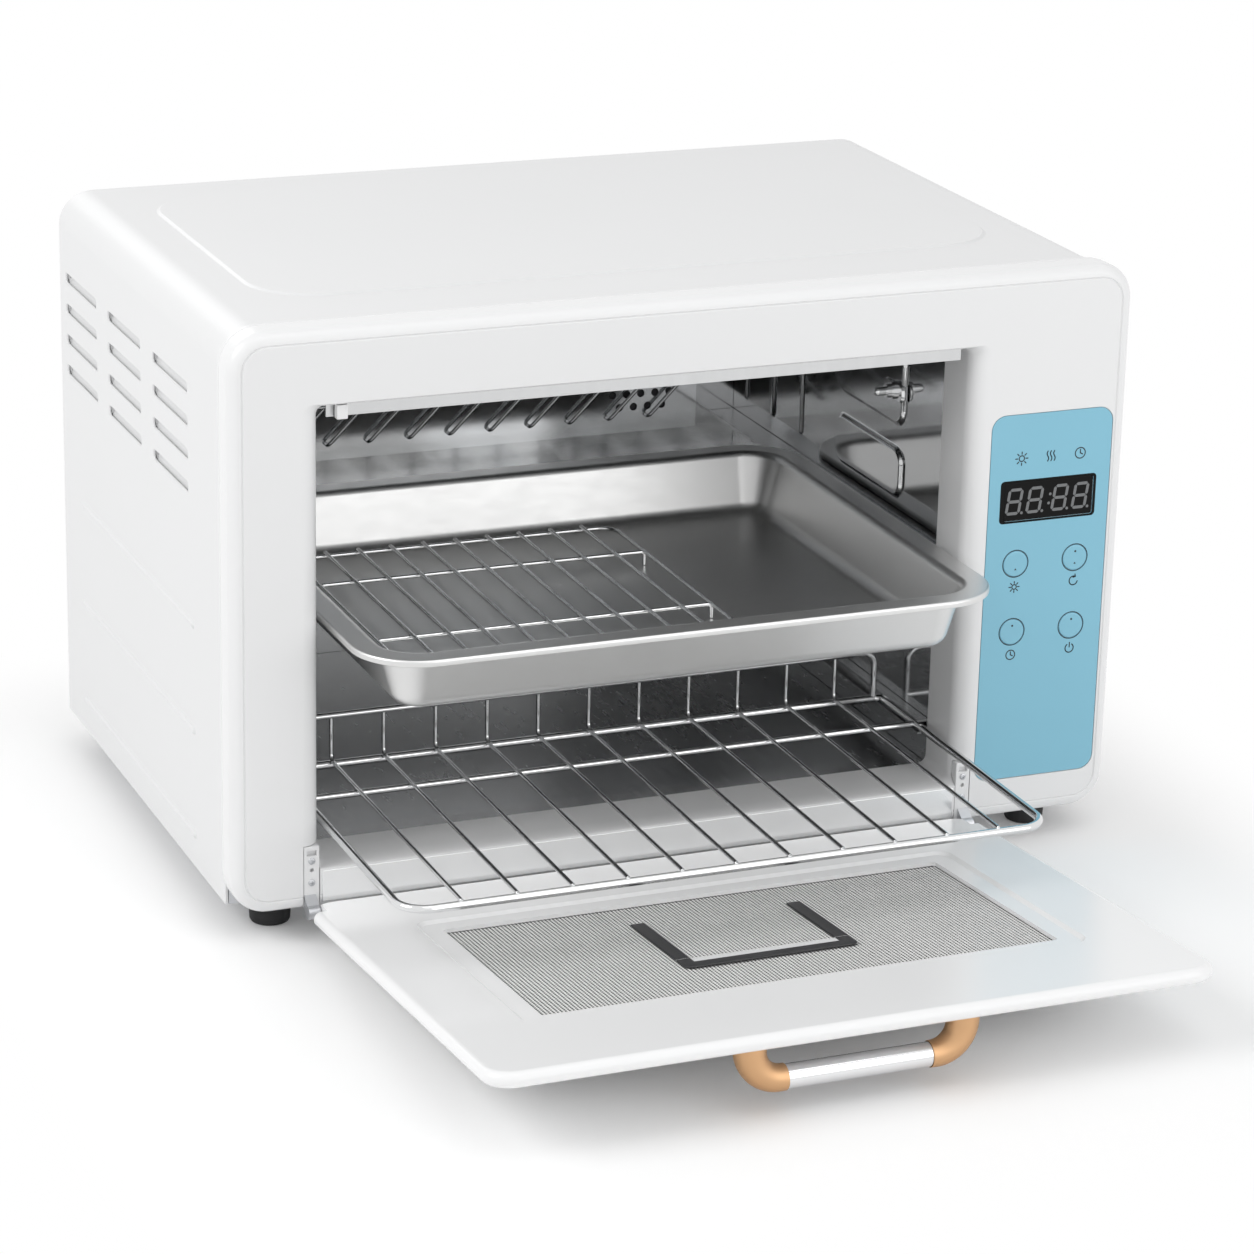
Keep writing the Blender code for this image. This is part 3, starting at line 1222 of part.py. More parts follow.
def cable_gland(parent, material):
    z = BASE_Z + GLAND_RISE
    face = REAR_PANEL_BACK + GAP
    tip = REAR_REACH
    stations = (
        (REAR_PANEL_FRONT - GLAND_REACH, GLAND_BARREL_RADIUS),
        (face, GLAND_BARREL_RADIUS),
        (face, GLAND_FLANGE_RADIUS),
        (face + GLAND_FLANGE_THICKNESS, GLAND_FLANGE_RADIUS),
        (face + GLAND_FLANGE_THICKNESS, GLAND_BARREL_RADIUS),
        (tip, GLAND_BARREL_RADIUS),
    )
    barrel = turned("Y", BAY_CENTRE, z, stations, 24)
    bore = rod(
        "Y", BAY_CENTRE, z, GLAND_BORE_RADIUS, REAR_PANEL_FRONT - GLAND_REACH - OVERRUN, tip + OVERRUN, 16
    )
    piece("cable_gland", cut(barrel, bore), material, parent)


# Door, hinges and handle. Door pieces are built closed, with the hinge axis through their origin.


def door_panel(hinge, material):
    left = DOOR_LEFT
    right = DOOR_RIGHT
    rings = []
    steps = 4
    for step in range(steps + 1):
        angle = math.radians(-90 + 180 * step / steps)
        inset = EDGE_RADIUS * (1 - math.cos(angle))
        outline = rounded(
            left + inset, right - inset, inset - EDGE_RADIUS, DOOR_LENGTH - inset, DOOR_CORNER_RADIUS - inset
        )
        rings.append([point("Y", a, b, EDGE_RADIUS * math.sin(angle)) for a, b in outline])
    solid = loft(rings)
    inner = EDGE_RADIUS
    window = window_edges(0)
    recess = rounded(*window_edges(RECESS_MARGIN), WINDOW_CORNER_RADIUS + RECESS_MARGIN / 2)
    rebate = rounded(*window_edges(REBATE_MARGIN), WINDOW_CORNER_RADIUS)
    cutters = [
        prism(recess, "Y", inner - RECESS_DEPTH, inner + OVERRUN),
        prism(rounded(*window, WINDOW_CORNER_RADIUS), "Y", -inner - OVERRUN, inner + OVERRUN),
        prism(rebate, "Y", -inner - OVERRUN, -inner + REBATE_DEPTH),
    ]
    for _, outer, inward in hinge_sides():
        ends = sorted((outer - OVERRUN * inward, outer + (HINGE_KNUCKLE_WIDTH + HINGE_SIDE_CLEARANCE) * inward))
        cutters.append(box(
            ends[0], ends[1], -inner - OVERRUN, inner + OVERRUN, -inner - OVERRUN, HINGE_NOTCH_LENGTH,
        ))
        bore = sorted((outer, outer + (HINGE_PIN_LENGTH + HINGE_SIDE_CLEARANCE) * inward))
        cutters.append(rod("X", 0, 0, HINGE_PIN_RADIUS + GAP, bore[0], bore[1], 24))
    piece("door_panel", cut(solid, *cutters), material, hinge)


def window_edges(margin):
    half = WINDOW_WIDTH / 2 + margin
    return OPENING_CENTRE - half, OPENING_CENTRE + half, WINDOW_START - margin, WINDOW_START + WINDOW_LENGTH + margin


def door_window(hinge, glass, mesh_material, band_material):
    seat = REBATE_DEPTH - EDGE_RADIUS
    outline = rounded(*window_edges(REBATE_MARGIN - GAP), WINDOW_CORNER_RADIUS)
    mesh_front = seat - GAP
    mesh_back = mesh_front - MESH_SHEET
    piece("door_mesh", prism(outline, "Y", mesh_back, mesh_front), mesh_material, hinge)
    glass_front = mesh_back - GAP
    pane = prism(outline, "Y", glass_front - GLASS_SHEET, glass_front)
    piece("door_glass", pane, glass, hinge)
    half = BAND_WIDTH / 2
    low = WINDOW_START + BAND_START
    high = low + BAND_LENGTH
    band = box(OPENING_CENTRE - half, OPENING_CENTRE + half, seat, seat + BAND_SHEET, low, high)
    inside = half - BAND_STRIP
    hollow = box(
        OPENING_CENTRE - inside, OPENING_CENTRE + inside, seat - OVERRUN, seat + BAND_SHEET + OVERRUN,
        low - OVERRUN, high - BAND_STRIP,
    )
    piece("window_band", cut(band, hollow), band_material, hinge)


def hinges(parent, bracket_material, pin_material):
    """A block set into the frame, with an arm and a knuckle that carries the hinge pin."""
    block_front = GAP
    block_back = GAP + HINGE_BLOCK_DEPTH
    low = BASE_Z + HINGE_BLOCK_RISE
    high = low + HINGE_BLOCK_HEIGHT
    arm_back = -GAP
    knuckle = []
    for step in range(9):
        angle = math.radians(90 + 180 * step / 8)
        y = DOOR_AXIS_Y + HINGE_KNUCKLE_RADIUS * math.cos(angle)
        knuckle.append((y, DOOR_AXIS_Z + HINGE_KNUCKLE_RADIUS * math.sin(angle)))
    outline = [(block_front, low + HINGE_ARM_RISE)]
    outline += knuckle
    outline += [(arm_back, DOOR_AXIS_Z - HINGE_KNUCKLE_RADIUS), (arm_back, low), (block_front, low)]
    for name, outer, inward in hinge_sides():
        ends = sorted((outer, outer + inward * HINGE_KNUCKLE_WIDTH))
        arm = prism(outline, "X", ends[0], ends[1])
        block_ends = sorted((outer, outer + inward * HINGE_BLOCK_WIDTH))
        block = box(block_ends[0], block_ends[1], 0, block_back, low, high)
        bracket = fuse(block, arm)
        bore = sorted((outer + inward * HINGE_KNUCKLE_WIDTH / 4, outer + inward * (HINGE_KNUCKLE_WIDTH + OVERRUN)))
        bracket = cut(bracket, rod("X", DOOR_AXIS_Y, DOOR_AXIS_Z, HINGE_PIN_RADIUS + GAP, bore[0], bore[1], 24))
        piece(f"hinge_bracket_{name}", bracket, bracket_material, parent)
        start = outer + inward * (HINGE_KNUCKLE_WIDTH / 4 + GAP)
        ends = sorted((start, outer + inward * HINGE_PIN_LENGTH))
        pin = rod("X", DOOR_AXIS_Y, DOOR_AXIS_Z, HINGE_PIN_RADIUS, ends[0], ends[1], 24)
        piece(f"hinge_pin_{name}", pin, pin_material, parent)


def handle(hinge, elbow_material, bar_material):
    face = -EDGE_RADIUS - GAP
    centre_depth = -EDGE_RADIUS - HANDLE_PROJECTION + HANDLE_TUBE_RADIUS
    height = DOOR_LENGTH - HANDLE_EDGE_MARGIN
    half = HANDLE_LEG_PITCH / 2
    for name, side in (("left", -1), ("right", 1)):
        leg = OPENING_CENTRE + side * half
        end = leg - side * HANDLE_ELBOW_REACH
        path = bend(((leg, face, height), (leg, centre_depth, height), (end, centre_depth, height)), HANDLE_BEND, 5)
        elbow = sweep(path, HANDLE_TUBE_RADIUS, 16)
        socket = sorted((end - side * OVERRUN, end + side * HANDLE_SOCKET))
        bore = rod("X", centre_depth, height, HANDLE_BAR_RADIUS + GAP, socket[0], socket[1], 20)
        piece(f"handle_elbow_{name}", cut(elbow, bore), elbow_material, hinge)
    reach = half - HANDLE_ELBOW_REACH + HANDLE_SOCKET - GAP
    ends = (OPENING_CENTRE - reach, OPENING_CENTRE + reach)
    bar = rod("X", centre_depth, height, HANDLE_BAR_RADIUS, ends[0], ends[1], 20)
    piece("handle_bar", bar, bar_material, hinge)


# Wire rack and its guides. The rack's origin is the middle of its front edge, in the plane of its frame.


def wire_rack(parent, material):
    """The flat bed: a bent frame, a cross wire and the long wires laid over them."""
    half = RACK_WIDTH / 2
    front = RACK_FRAME_RADIUS
    back = RACK_DEPTH - RACK_FRAME_RADIUS
    loop = ((-half, front, 0), (half, front, 0), (half, back, 0), (-half, back, 0))
    solid = sweep(bend(loop, RACK_CORNER_RADIUS, 6, closed=True), RACK_FRAME_RADIUS, 8, closed=True)
    wires = [rod("X", RACK_CROSS_SETBACK, 0, RACK_CROSS_RADIUS, -half, half, 8)]
    level = RACK_CROSS_RADIUS + RACK_WIRE_RADIUS - WELD
    for across in rack_wire_places():
        wires.append(rod("Y", across, level, RACK_WIRE_RADIUS, front, back + RACK_WIRE_RADIUS, 6))
    piece("wire_rack", fuse(solid, *wires), material, parent)


def rack_wire_places():
    pitch = RACK_WIDTH / (RACK_WIRE_COUNT + 1)
    return [pitch * (i + 1) - RACK_WIDTH / 2 for i in range(RACK_WIRE_COUNT)]


def rack_fence(parent, material):
    """The fence that stands on the bed's rear wire: a bent top rail over short upright wires."""
    along = RACK_DEPTH - RACK_FRAME_RADIUS
    crest = RACK_FENCE_HEIGHT
    side = RACK_WIDTH / 2 - RACK_CORNER_RADIUS
    low = RACK_FRAME_RADIUS + GAP
    rail = ((-side, along, low), (-side, along, crest), (side, along, crest), (side, along, low))
    solid = sweep(bend(rail, RACK_CORNER_RADIUS / 2, 4), RACK_CROSS_RADIUS, 8)
    foot = RACK_CROSS_RADIUS + 2 * RACK_WIRE_RADIUS - WELD + GAP
    wires = [rod("Z", across, along, RACK_WIRE_RADIUS, foot, crest, 6) for across in rack_wire_places()]
    piece("rack_fence", fuse(solid, *wires), material, parent)


def rack_guides(parent, material):
    """Channels on the side walls that hold the rack's side wires from above and below."""
    inner = RACK_FRAME_RADIUS + RACK_SLOT_PLAY
    outer = inner + RACK_GUIDE_SHEET
    for name, wall, inward in (("left", GUIDE_LEFT, 1), ("right", GUIDE_RIGHT, -1)):
        web = wall + inward * RACK_GUIDE_SHEET
        tip = wall + inward * RACK_GUIDE_REACH
        outline = (
            (wall, RACK_Z - outer),
            (tip, RACK_Z - outer),
            (tip, RACK_Z - inner),
            (web, RACK_Z - inner),
            (web, RACK_Z + inner),
            (tip, RACK_Z + inner),
            (tip, RACK_Z + outer),
            (wall, RACK_Z + outer),
        )
        piece(f"rack_guide_{name}", prism(outline, "Y", GUIDE_FRONT, GUIDE_BACK), material, parent)


# Tray, its rails and the wire insert. The tray's origin is the middle of its front edge, at rim height.


def tray_ring(inset, depth):
    half = TRAY_WIDTH / 2 - inset
    outline = rounded(-half, half, inset, TRAY_DEPTH - inset, max(TRAY_CORNER_RADIUS - inset, TRAY_SHEET))
    return [point("Z", a, b, depth) for a, b in outline]


def arc_points(centre, radius, start, end, steps):
    points = []
    for step in range(steps + 1):
        angle = math.radians(start + (end - start) * step / steps)
        points.append((centre[0] + radius * math.cos(angle), centre[1] + radius * math.sin(angle)))
    return points


def tray(parent, material):
    """A pressed pan: a flat flange with a turned-down edge, a soft shoulder, sloping walls and a flat floor."""
    sheet = TRAY_SHEET
    floor = -TRAY_HEIGHT
    wall_top = TRAY_FLANGE + TRAY_SHOULDER
    wall_foot = wall_top + TRAY_WALL_TAPER
    upper = [(0, -TRAY_EDGE_DROP), (0, -sheet), (sheet / 2, -sheet / 4), (sheet, 0)]
    upper += arc_points((TRAY_FLANGE, -TRAY_SHOULDER), TRAY_SHOULDER, 90, 15, 3)
    round_centre = (wall_foot + TRAY_FLOOR_ROUND, floor + sheet + TRAY_FLOOR_ROUND)
    upper += arc_points(round_centre, TRAY_FLOOR_ROUND, 195, 270, 3)
    lower = [(sheet, -TRAY_EDGE_DROP), (sheet, -sheet)]
    lower += arc_points((TRAY_FLANGE, -TRAY_SHOULDER), TRAY_SHOULDER - sheet, 90, 15, 3)
    lower += arc_points(round_centre, TRAY_FLOOR_ROUND + sheet, 195, 270, 3)
    rings = [tray_ring(inset, depth) for inset, depth in reversed(lower)]
    rings += [tray_ring(inset, depth) for inset, depth in upper]
    piece("tray", loft(rings), material, parent)


def tray_rails(parent, material):
    """Angle rails on the side walls; the tray's flange runs on them."""
    top = TRAY_Z - TRAY_EDGE_DROP - GAP
    for name, wall, inward in (("left", GUIDE_LEFT, 1), ("right", GUIDE_RIGHT, -1)):
        web = wall + inward * TRAY_RAIL_SHEET
        tip = wall + inward * TRAY_RAIL_REACH
        outline = (
            (wall, top - TRAY_RAIL_HEIGHT),
            (web, top - TRAY_RAIL_HEIGHT),
            (web, top - TRAY_RAIL_SHEET),
            (tip, top - TRAY_RAIL_SHEET),
            (tip, top),
            (wall, top),
        )
        piece(f"tray_rail_{name}", prism(outline, "Y", GUIDE_FRONT, GUIDE_BACK), material, parent)


def tray_insert(parent, material):
    """A low wire grid that stands on the tray's floor."""
    radius = INSERT_WIRE_RADIUS
    floor = -TRAY_HEIGHT + TRAY_SHEET
    level = floor + GAP + INSERT_LEG + radius
    left = -TRAY_WIDTH / 2 + INSERT_SIDE_MARGIN
    right = left + INSERT_WIDTH
    front = INSERT_FRONT_MARGIN
    back = front + INSERT_LENGTH
    loop = ((left, front, level), (right, front, level), (right, back, level), (left, back, level))
    solid = sweep(bend(loop, INSERT_CORNER_RADIUS, 4, closed=True), radius, 6, closed=True)
    wires = []
    pitch = INSERT_WIDTH / (INSERT_WIRE_COUNT + 1)
    rise = 2 * radius - WELD
    for i in range(INSERT_WIRE_COUNT):
        across = left + pitch * (i + 1)
        wires.append(rod("Y", across, level + rise, radius, front - radius, back + radius, 6))
    for along in (front + INSERT_LENGTH / 4, back - INSERT_LENGTH / 4):
        legs = (
            (left, along, floor + GAP),
            (left, along, level),
            (right, along, level),
            (right, along, floor + GAP),
        )
        wires.append(sweep(bend(legs, 2 * radius, 2), radius, 6))
    piece("tray_insert", fuse(solid, *wires), material, parent)


def build():
    clear_scene()
    white = (0.86, 0.87, 0.87)
    finishes = {
        "shell": paint("white_painted_steel", white, 0.40),
        "frame": paint("white_gloss_plastic", (0.88, 0.89, 0.89), 0.25),
        "door": paint("white_gloss_door", (0.88, 0.89, 0.90), 0.15),
        "membrane": paint("light_blue_membrane", (0.25, 0.55, 0.70), 0.45),
        "steel": paint("polished_steel", (0.62, 0.62, 0.63), 0.22, 1.0),
        "reflector": paint("bright_reflector", (0.80, 0.80, 0.82), 0.12, 1.0),
        "chrome": paint("chrome_wire", (0.75, 0.75, 0.77), 0.10, 1.0),
        "tray": paint("brushed_steel_tray", (0.58, 0.58, 0.58), 0.30, 1.0),
        "gold": paint("satin_copper_gold", (0.75, 0.45, 0.22), 0.35, 1.0),
        "rubber": paint("black_rubber", (0.02, 0.02, 0.02), 0.80),
        "black": paint("black_plastic", (0.03, 0.03, 0.03), 0.50),
        "board": paint("green_board", (0.02, 0.22, 0.10), 0.50),
        "glass": paint("clear_glass", (0.85, 0.90, 0.92), 0.05, 0.0, 0.35),
        "zinc": paint("zinc_plate", (0.55, 0.56, 0.58), 0.45, 1.0),
    }
    cabinet = empty("cabinet", (0, FRONT_Y, 0))
    front_frame(cabinet, finishes["frame"])
    outer_shell(cabinet, finishes["shell"])
    rear_panel(cabinet, finishes["shell"])
    base_pan(cabinet, finishes["zinc"])
    feet(cabinet, finishes["rubber"])
    chamber_liner(cabinet, finishes["steel"])
    opening_lip(cabinet, finishes["steel"])
    door_sensor(cabinet, finishes["frame"])
    control_membrane(cabinet, finishes["membrane"])
    display(cabinet, finishes["black"], finishes["black"])
    control_board(cabinet, finishes["board"])
    keys(cabinet, finishes["membrane"])
    lamp(cabinet, finishes["glass"], finishes["frame"])
    lamp_reflector(cabinet, finishes["reflector"])
    wire_guard(cabinet, finishes["chrome"])
    temperature_probe(cabinet, finishes["chrome"])
    fan(cabinet, finishes["black"], finishes["black"])
    power_board(cabinet, finishes["board"])
    lamp_ballast(cabinet, finishes["zinc"])
    drying_heater(cabinet, finishes["zinc"])
    cable_gland(cabinet, finishes["black"])
    hinges(cabinet, finishes["frame"], finishes["zinc"])
    rack_guides(cabinet, finishes["steel"])
    tray_rails(cabinet, finishes["steel"])
    hinge = empty("door_hinge", (0, DOOR_AXIS_Y, DOOR_AXIS_Z), cabinet, OPEN_RADIANS)
    door_panel(hinge, finishes["door"])
    door_window(hinge, finishes["glass"], finishes["zinc"], finishes["black"])
    handle(hinge, finishes["gold"], finishes["chrome"])
    rack_slide = empty("rack_slide", (OPENING_CENTRE, -RACK_OUT, RACK_Z), cabinet)
    wire_rack(rack_slide, finishes["chrome"])
    rack_fence(rack_slide, finishes["chrome"])
    tray_slide = empty("tray_slide", (OPENING_CENTRE, -TRAY_OUT, TRAY_Z), cabinet)
    tray(tray_slide, finishes["tray"])
    tray_insert(tray_slide, finishes["chrome"])


build()
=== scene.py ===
"""Finished look of a benchtop tool sterilizer, laid over the fixed frame of its solids.

Every piece is built in the frame's own place, in metres: x runs to the right, y into the
cabinet and z up. Inside the builders y = 0 lies on the face of the front frame. Door
pieces are built closed, with the hinge axis through their origin, and then swung open.
"""

import math

import bmesh
import bpy
from bpy.props import FloatProperty, FloatVectorProperty, PointerProperty
from bpy.types import Operator, Panel, PropertyGroup
from mathutils import Matrix, Vector


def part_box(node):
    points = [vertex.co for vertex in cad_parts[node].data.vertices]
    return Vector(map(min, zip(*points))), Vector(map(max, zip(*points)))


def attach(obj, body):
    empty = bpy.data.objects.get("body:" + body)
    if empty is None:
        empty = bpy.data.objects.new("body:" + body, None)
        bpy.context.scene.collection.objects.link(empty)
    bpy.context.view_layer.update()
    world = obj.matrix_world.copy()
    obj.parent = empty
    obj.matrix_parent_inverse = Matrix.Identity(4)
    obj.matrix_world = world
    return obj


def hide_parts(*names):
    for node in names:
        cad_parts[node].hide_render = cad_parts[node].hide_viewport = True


bl_info = {
    "name": "Tool Sterilizer Cabinet",
    "version": (1, 0, 0),
    "blender": (4, 5, 0),
    "location": "View3D > Sidebar > Sterilizer",
    "description": "Builds the finished pieces of a benchtop tool sterilizer over its solids",
    "category": "Add Mesh",
}

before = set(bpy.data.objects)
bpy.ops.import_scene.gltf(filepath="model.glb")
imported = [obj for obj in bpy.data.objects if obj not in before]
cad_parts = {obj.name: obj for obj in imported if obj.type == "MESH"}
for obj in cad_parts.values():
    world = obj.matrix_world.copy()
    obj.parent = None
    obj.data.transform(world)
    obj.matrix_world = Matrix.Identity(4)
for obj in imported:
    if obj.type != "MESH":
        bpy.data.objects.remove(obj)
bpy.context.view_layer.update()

# Places taken from the solids

FRAME_LOW, FRAME_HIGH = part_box("front_frame")
SHELL_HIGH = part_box("outer_shell")[1]
FRONT_Y = FRAME_LOW.y
BASE_Z = FRAME_LOW.z
FRAME_TOP = FRAME_HIGH.z
FRAME_LEFT = FRAME_LOW.x
FRAME_RIGHT = FRAME_HIGH.x
BODY_DEPTH = SHELL_HIGH.y - FRONT_Y

# Fits

GAP = 0.0003
OVERRUN = 0.002

# Front frame and its opening

FRAME_DEPTH = 0.016
FRAME_CORNER = 0.016
FRAME_ROUND = 0.005
FRAME_FACE = 0.003
FRAME_WALL = 0.0025
COLLAR_WALL = 0.003
COLLAR_DEPTH = 0.028
OPENING = (-0.162, 0.126, BASE_Z + 0.0185, BASE_Z + 0.213)
OPENING_CORNER = 0.004
REVEAL_SIDE = 0.008
REVEAL_TOP = 0.002
REVEAL_BOTTOM = 0.0015
RIM_LINE = (0.0061, 0.0055, 0.00045)
REAR_GROOVE = (0.0030, 0.0014, 0.0014)
SILL = (BASE_Z + 0.0030, BASE_Z + 0.0166)
KEY_SOCKET_WALL = 0.0006
SENSOR_SLOT = (OPENING[0] + 0.007, OPENING[0] + 0.007 + 0.005, 0.0015, 0.0053)

# Outer shell

SHELL_INSET = 0.002
SHELL_SHEET = 0.001
SHELL_CORNER = 0.015
SHELL_LEFT = FRAME_LEFT + SHELL_INSET
SHELL_RIGHT = FRAME_RIGHT - SHELL_INSET
SHELL_TOP = FRAME_TOP - SHELL_INSET
SHELL_FRONT = FRAME_DEPTH + GAP
EMBOSS = (SHELL_LEFT + 0.030, SHELL_RIGHT - 0.030, 0.055, BODY_DEPTH - 0.026)
EMBOSS_SLOPE = 0.0017
EMBOSS_HEIGHT = 0.0009
EMBOSS_CORNER = 0.030
LOUVRE_ROWS = 4
LOUVRE_COLUMNS = 3
LOUVRE_LENGTH = 0.0505
LOUVRE_HEIGHT = 0.0042
LOUVRE_ROW_PITCH = 0.014
LOUVRE_COLUMN_PITCH = 0.069
LOUVRE_TOP = SHELL_TOP - 0.0344
LOUVRE_FRONT = 0.064
RIB_PITCH = 0.0465
RIB_FRONT = 0.057
RIB_LENGTH = 0.176
RIB_HALF = 0.0018
RIB_LOWEST = BASE_Z + 0.0145
RIB_SLOPE = 0.0013
RIB_HEIGHT = 0.0010
REAR_SCREW_MARGIN = 0.008

# Chamber

CHAMBER_FRONT = COLLAR_DEPTH + GAP
CHAMBER_BACK = 0.250
CHAMBER_LEFT = OPENING[0] - 0.001
CHAMBER_RIGHT = OPENING[1] + 0.001
CHAMBER_FLOOR = OPENING[2] - 0.001
CHAMBER_TOP = OPENING[3] + 0.001
LINER_SHEET = 0.001
PAD_PLACES = ((BASE_Z + 0.127, 0.024), (BASE_Z + 0.160, 0.036))
PAD_FRONT = CHAMBER_FRONT + 0.036
PAD_DEPTH = 0.070
PAD_CORNER = 0.008
PAD_SLOPE = 0.0025
PAD_RISE = 0.0018
BEAD_LENGTH = 0.078
BEAD_HALF = 0.00225
BEAD_PITCH = 0.031
BEAD_SLOPE = 0.0016
BEAD_RISE = 0.0012
VENT_CENTRE = (CHAMBER_RIGHT - 0.0485, BASE_Z + 0.1305)
VENT_PITCH = 0.0072
VENT_RADIUS = 0.0019
LAMP_Y = CHAMBER_BACK - 0.028
LAMP_Z = CHAMBER_TOP - 0.019
LAMP_HALF = 0.106
CENTRE_X = (OPENING[0] + OPENING[1]) / 2
REFLECTOR_SHEET = 0.0008
REFLECTOR_REACH = 0.052
REFLECTOR_BEND = 0.012
REFLECTOR_MARGIN = 0.020
GUARD_WIRE = 0.0009
GUARD_PITCH = 0.0199
GUARD_COUNT = 11

# Control panel

PANEL = (0.1357, 0.1932, BASE_Z + 0.018, BASE_Z + 0.183)
PANEL_CORNER = 0.0065
PANEL_SHEET = 0.0004
PANEL_X = (PANEL[0] + PANEL[1]) / 2
DISPLAY = (PANEL_X - 0.02125, PANEL_X + 0.02125, PANEL[3] - 0.0472, PANEL[3] - 0.030)
PRINT_THICKNESS = 0.00003
DIGIT_LEAN = 0.14
DIGIT_PITCH = 0.0098
KEY_RADIUS = 0.0057
KEY_PROUD = 0.0003
KEYS = (
    ("key_lamp", "lamp_key", PANEL_X - 0.0143, PANEL[3] - 0.0665),
    ("key_auto", "auto_key", PANEL_X + 0.0143, PANEL[3] - 0.0665),
    ("key_timer", "timer_key", PANEL_X - 0.0143, PANEL[3] - 0.0974),
    ("key_power", "power_key", PANEL_X + 0.0143, PANEL[3] - 0.0974),
)

# Door and handle, from the hinge axis

DOOR_AXIS_Y = -0.00425
DOOR_AXIS_Z = BASE_Z + 0.0005
DOOR_OPEN = math.radians(85)
DOOR_LEFT = OPENING[0] - 0.008
DOOR_RIGHT = OPENING[1] + 0.008
DOOR_LENGTH = OPENING[3] + 0.004 - DOOR_AXIS_Z
DOOR_HALF = 0.00325
DOOR_CORNER = 0.012
WINDOW_HALF = 0.110
WINDOW_LOW = 0.048
WINDOW_HIGH = 0.159
RECESS_MARGIN = 0.0095
RECESS_DEPTH = 0.0012
REBATE_MARGIN = 0.006
REBATE_DEPTH = 0.0036
KNUCKLE_WIDTH = 0.005
KNUCKLE_RADIUS = 0.0029
HINGE_BLOCK = (0.0066, 0.0264, 0.0040)
HINGE_SIDE = 0.0005
HINGE_LOW = BASE_Z + 0.0013
PIN_RADIUS = 0.0015
LEG_HALF = 0.0445
TUBE_RADIUS = 0.0066
BAR_RADIUS = 0.0049
HANDLE_Y = -DOOR_HALF - 0.022 + TUBE_RADIUS
HANDLE_Z = DOOR_LENGTH - 0.0115
ELBOW_REACH = 0.0146
ELBOW_BEND = 0.0125
ELBOW_TAPER = 0.0013
BAR_SEAT = 0.004

# Rack, tray and insert, each from the middle of its front edge

RACK_PLACE = Vector((CENTRE_X, FRONT_Y - 0.095, BASE_Z + 0.035))
RACK_HALF = 0.14075
RACK_DEPTH = 0.165
RACK_FRAME_WIRE = 0.00175
RACK_CROSS_WIRE = 0.0014
RACK_LONG_WIRE = 0.0009
RACK_WIRE_COUNT = 11
RACK_FENCE_Y = RACK_DEPTH - RACK_FRAME_WIRE
RACK_CROSS_Y = RACK_DEPTH - 0.037
RACK_FENCE_TOP = 0.022
RACK_NEAR_BEND = 0.012
RACK_FAR_BEND = 0.004
TRAY_PLACE = Vector((CENTRE_X, FRONT_Y - 0.052, BASE_Z + 0.122))
TRAY_HALF = 0.140
TRAY_DEPTH = 0.236
TRAY_HEIGHT = 0.027
TRAY_SHEET = 0.001
TRAY_FLANGE = 0.009
TRAY_DROP = 0.0028
TRAY_CORNER = 0.028
INSERT = (-0.110, 0.040, 0.045, 0.195)
INSERT_WIRE = 0.0009
INSERT_RISE = 0.005
INSERT_LEG_SETBACK = 0.0375

# Stage

SHADOW_HALF = (0.19, 0.235, 0.0)
SHADOW_FADE = (0.015, 0.12)
CAMERA_PLACE = (-0.6576807, -1.53379553, 0.68914657)
CAMERA_TURN = (70.847936, -1.304411, -22.151394)
CAMERA_LENS = 120.13867


# Mesh helpers


def point(axis, a, b, depth):
    """A point of a flat outline (a, b) at a depth along the axis."""
    if axis == "X":
        return Vector((depth, a, b))
    if axis == "Y":
        return Vector((a, depth, b))
    return Vector((a, b, depth))


def rounded(a0, a1, b0, b1, radius, steps=10):
    """A rounded rectangle, anticlockwise, with the same number of points for every size."""
    radius = min(radius, (a1 - a0) / 2, (b1 - b0) / 2)
    corners = (
        (a1 - radius, b0 + radius, -90),
        (a1 - radius, b1 - radius, 0),
        (a0 + radius, b1 - radius, 90),
        (a0 + radius, b0 + radius, 180),
    )
    outline = []
    for centre_a, centre_b, start in corners:
        for step in range(steps + 1):
            angle = math.radians(start + 90 * step / steps)
            outline.append((centre_a + radius * math.cos(angle), centre_b + radius * math.sin(angle)))
    return outline


def circle(a, b, radius, sides):
    """The corners of a many-sided outline round (a, b)."""
    turn = 2 * math.pi / sides
    return [(a + radius * math.cos(i * turn), b + radius * math.sin(i * turn)) for i in range(sides)]


def arc(centre, radius, start, end, steps):
    """Points of an arc, with its angles in degrees."""
    points = []
    for step in range(steps + 1):
        angle = math.radians(start + (end - start) * step / steps)
        points.append((centre[0] + radius * math.cos(angle), centre[1] + radius * math.sin(angle)))
    return points


def loft(rings, loop=False):
    """Joins rings of equal length into one closed form: capped, or closed on itself as a loop."""
    mesh = bmesh.new()
    rows = [[mesh.verts.new(place) for place in ring] for ring in rings]
    pairs = list(zip(rows, rows[1:]))
    if loop:
        pairs.append((rows[-1], rows[0]))
    for lower, upper in pairs:
        for i in range(len(lower)):
            j = (i + 1) % len(lower)
            mesh.faces.new((lower[i], lower[j], upper[j], upper[i]))
    if not loop:
        mesh.faces.new(rows[0])
        mesh.faces.new(rows[-1])
    bmesh.ops.recalc_face_normals(mesh, faces=mesh.faces)
    return mesh


def prism(outline, axis, low, high):
    """A flat outline drawn out along an axis."""
    return loft([[point(axis, a, b, depth) for a, b in outline] for depth in (low, high)])


def block(x0, x1, y0, y1, z0, z1):
    return prism(((x0, z0), (x1, z0), (x1, z1), (x0, z1)), "Y", y0, y1)


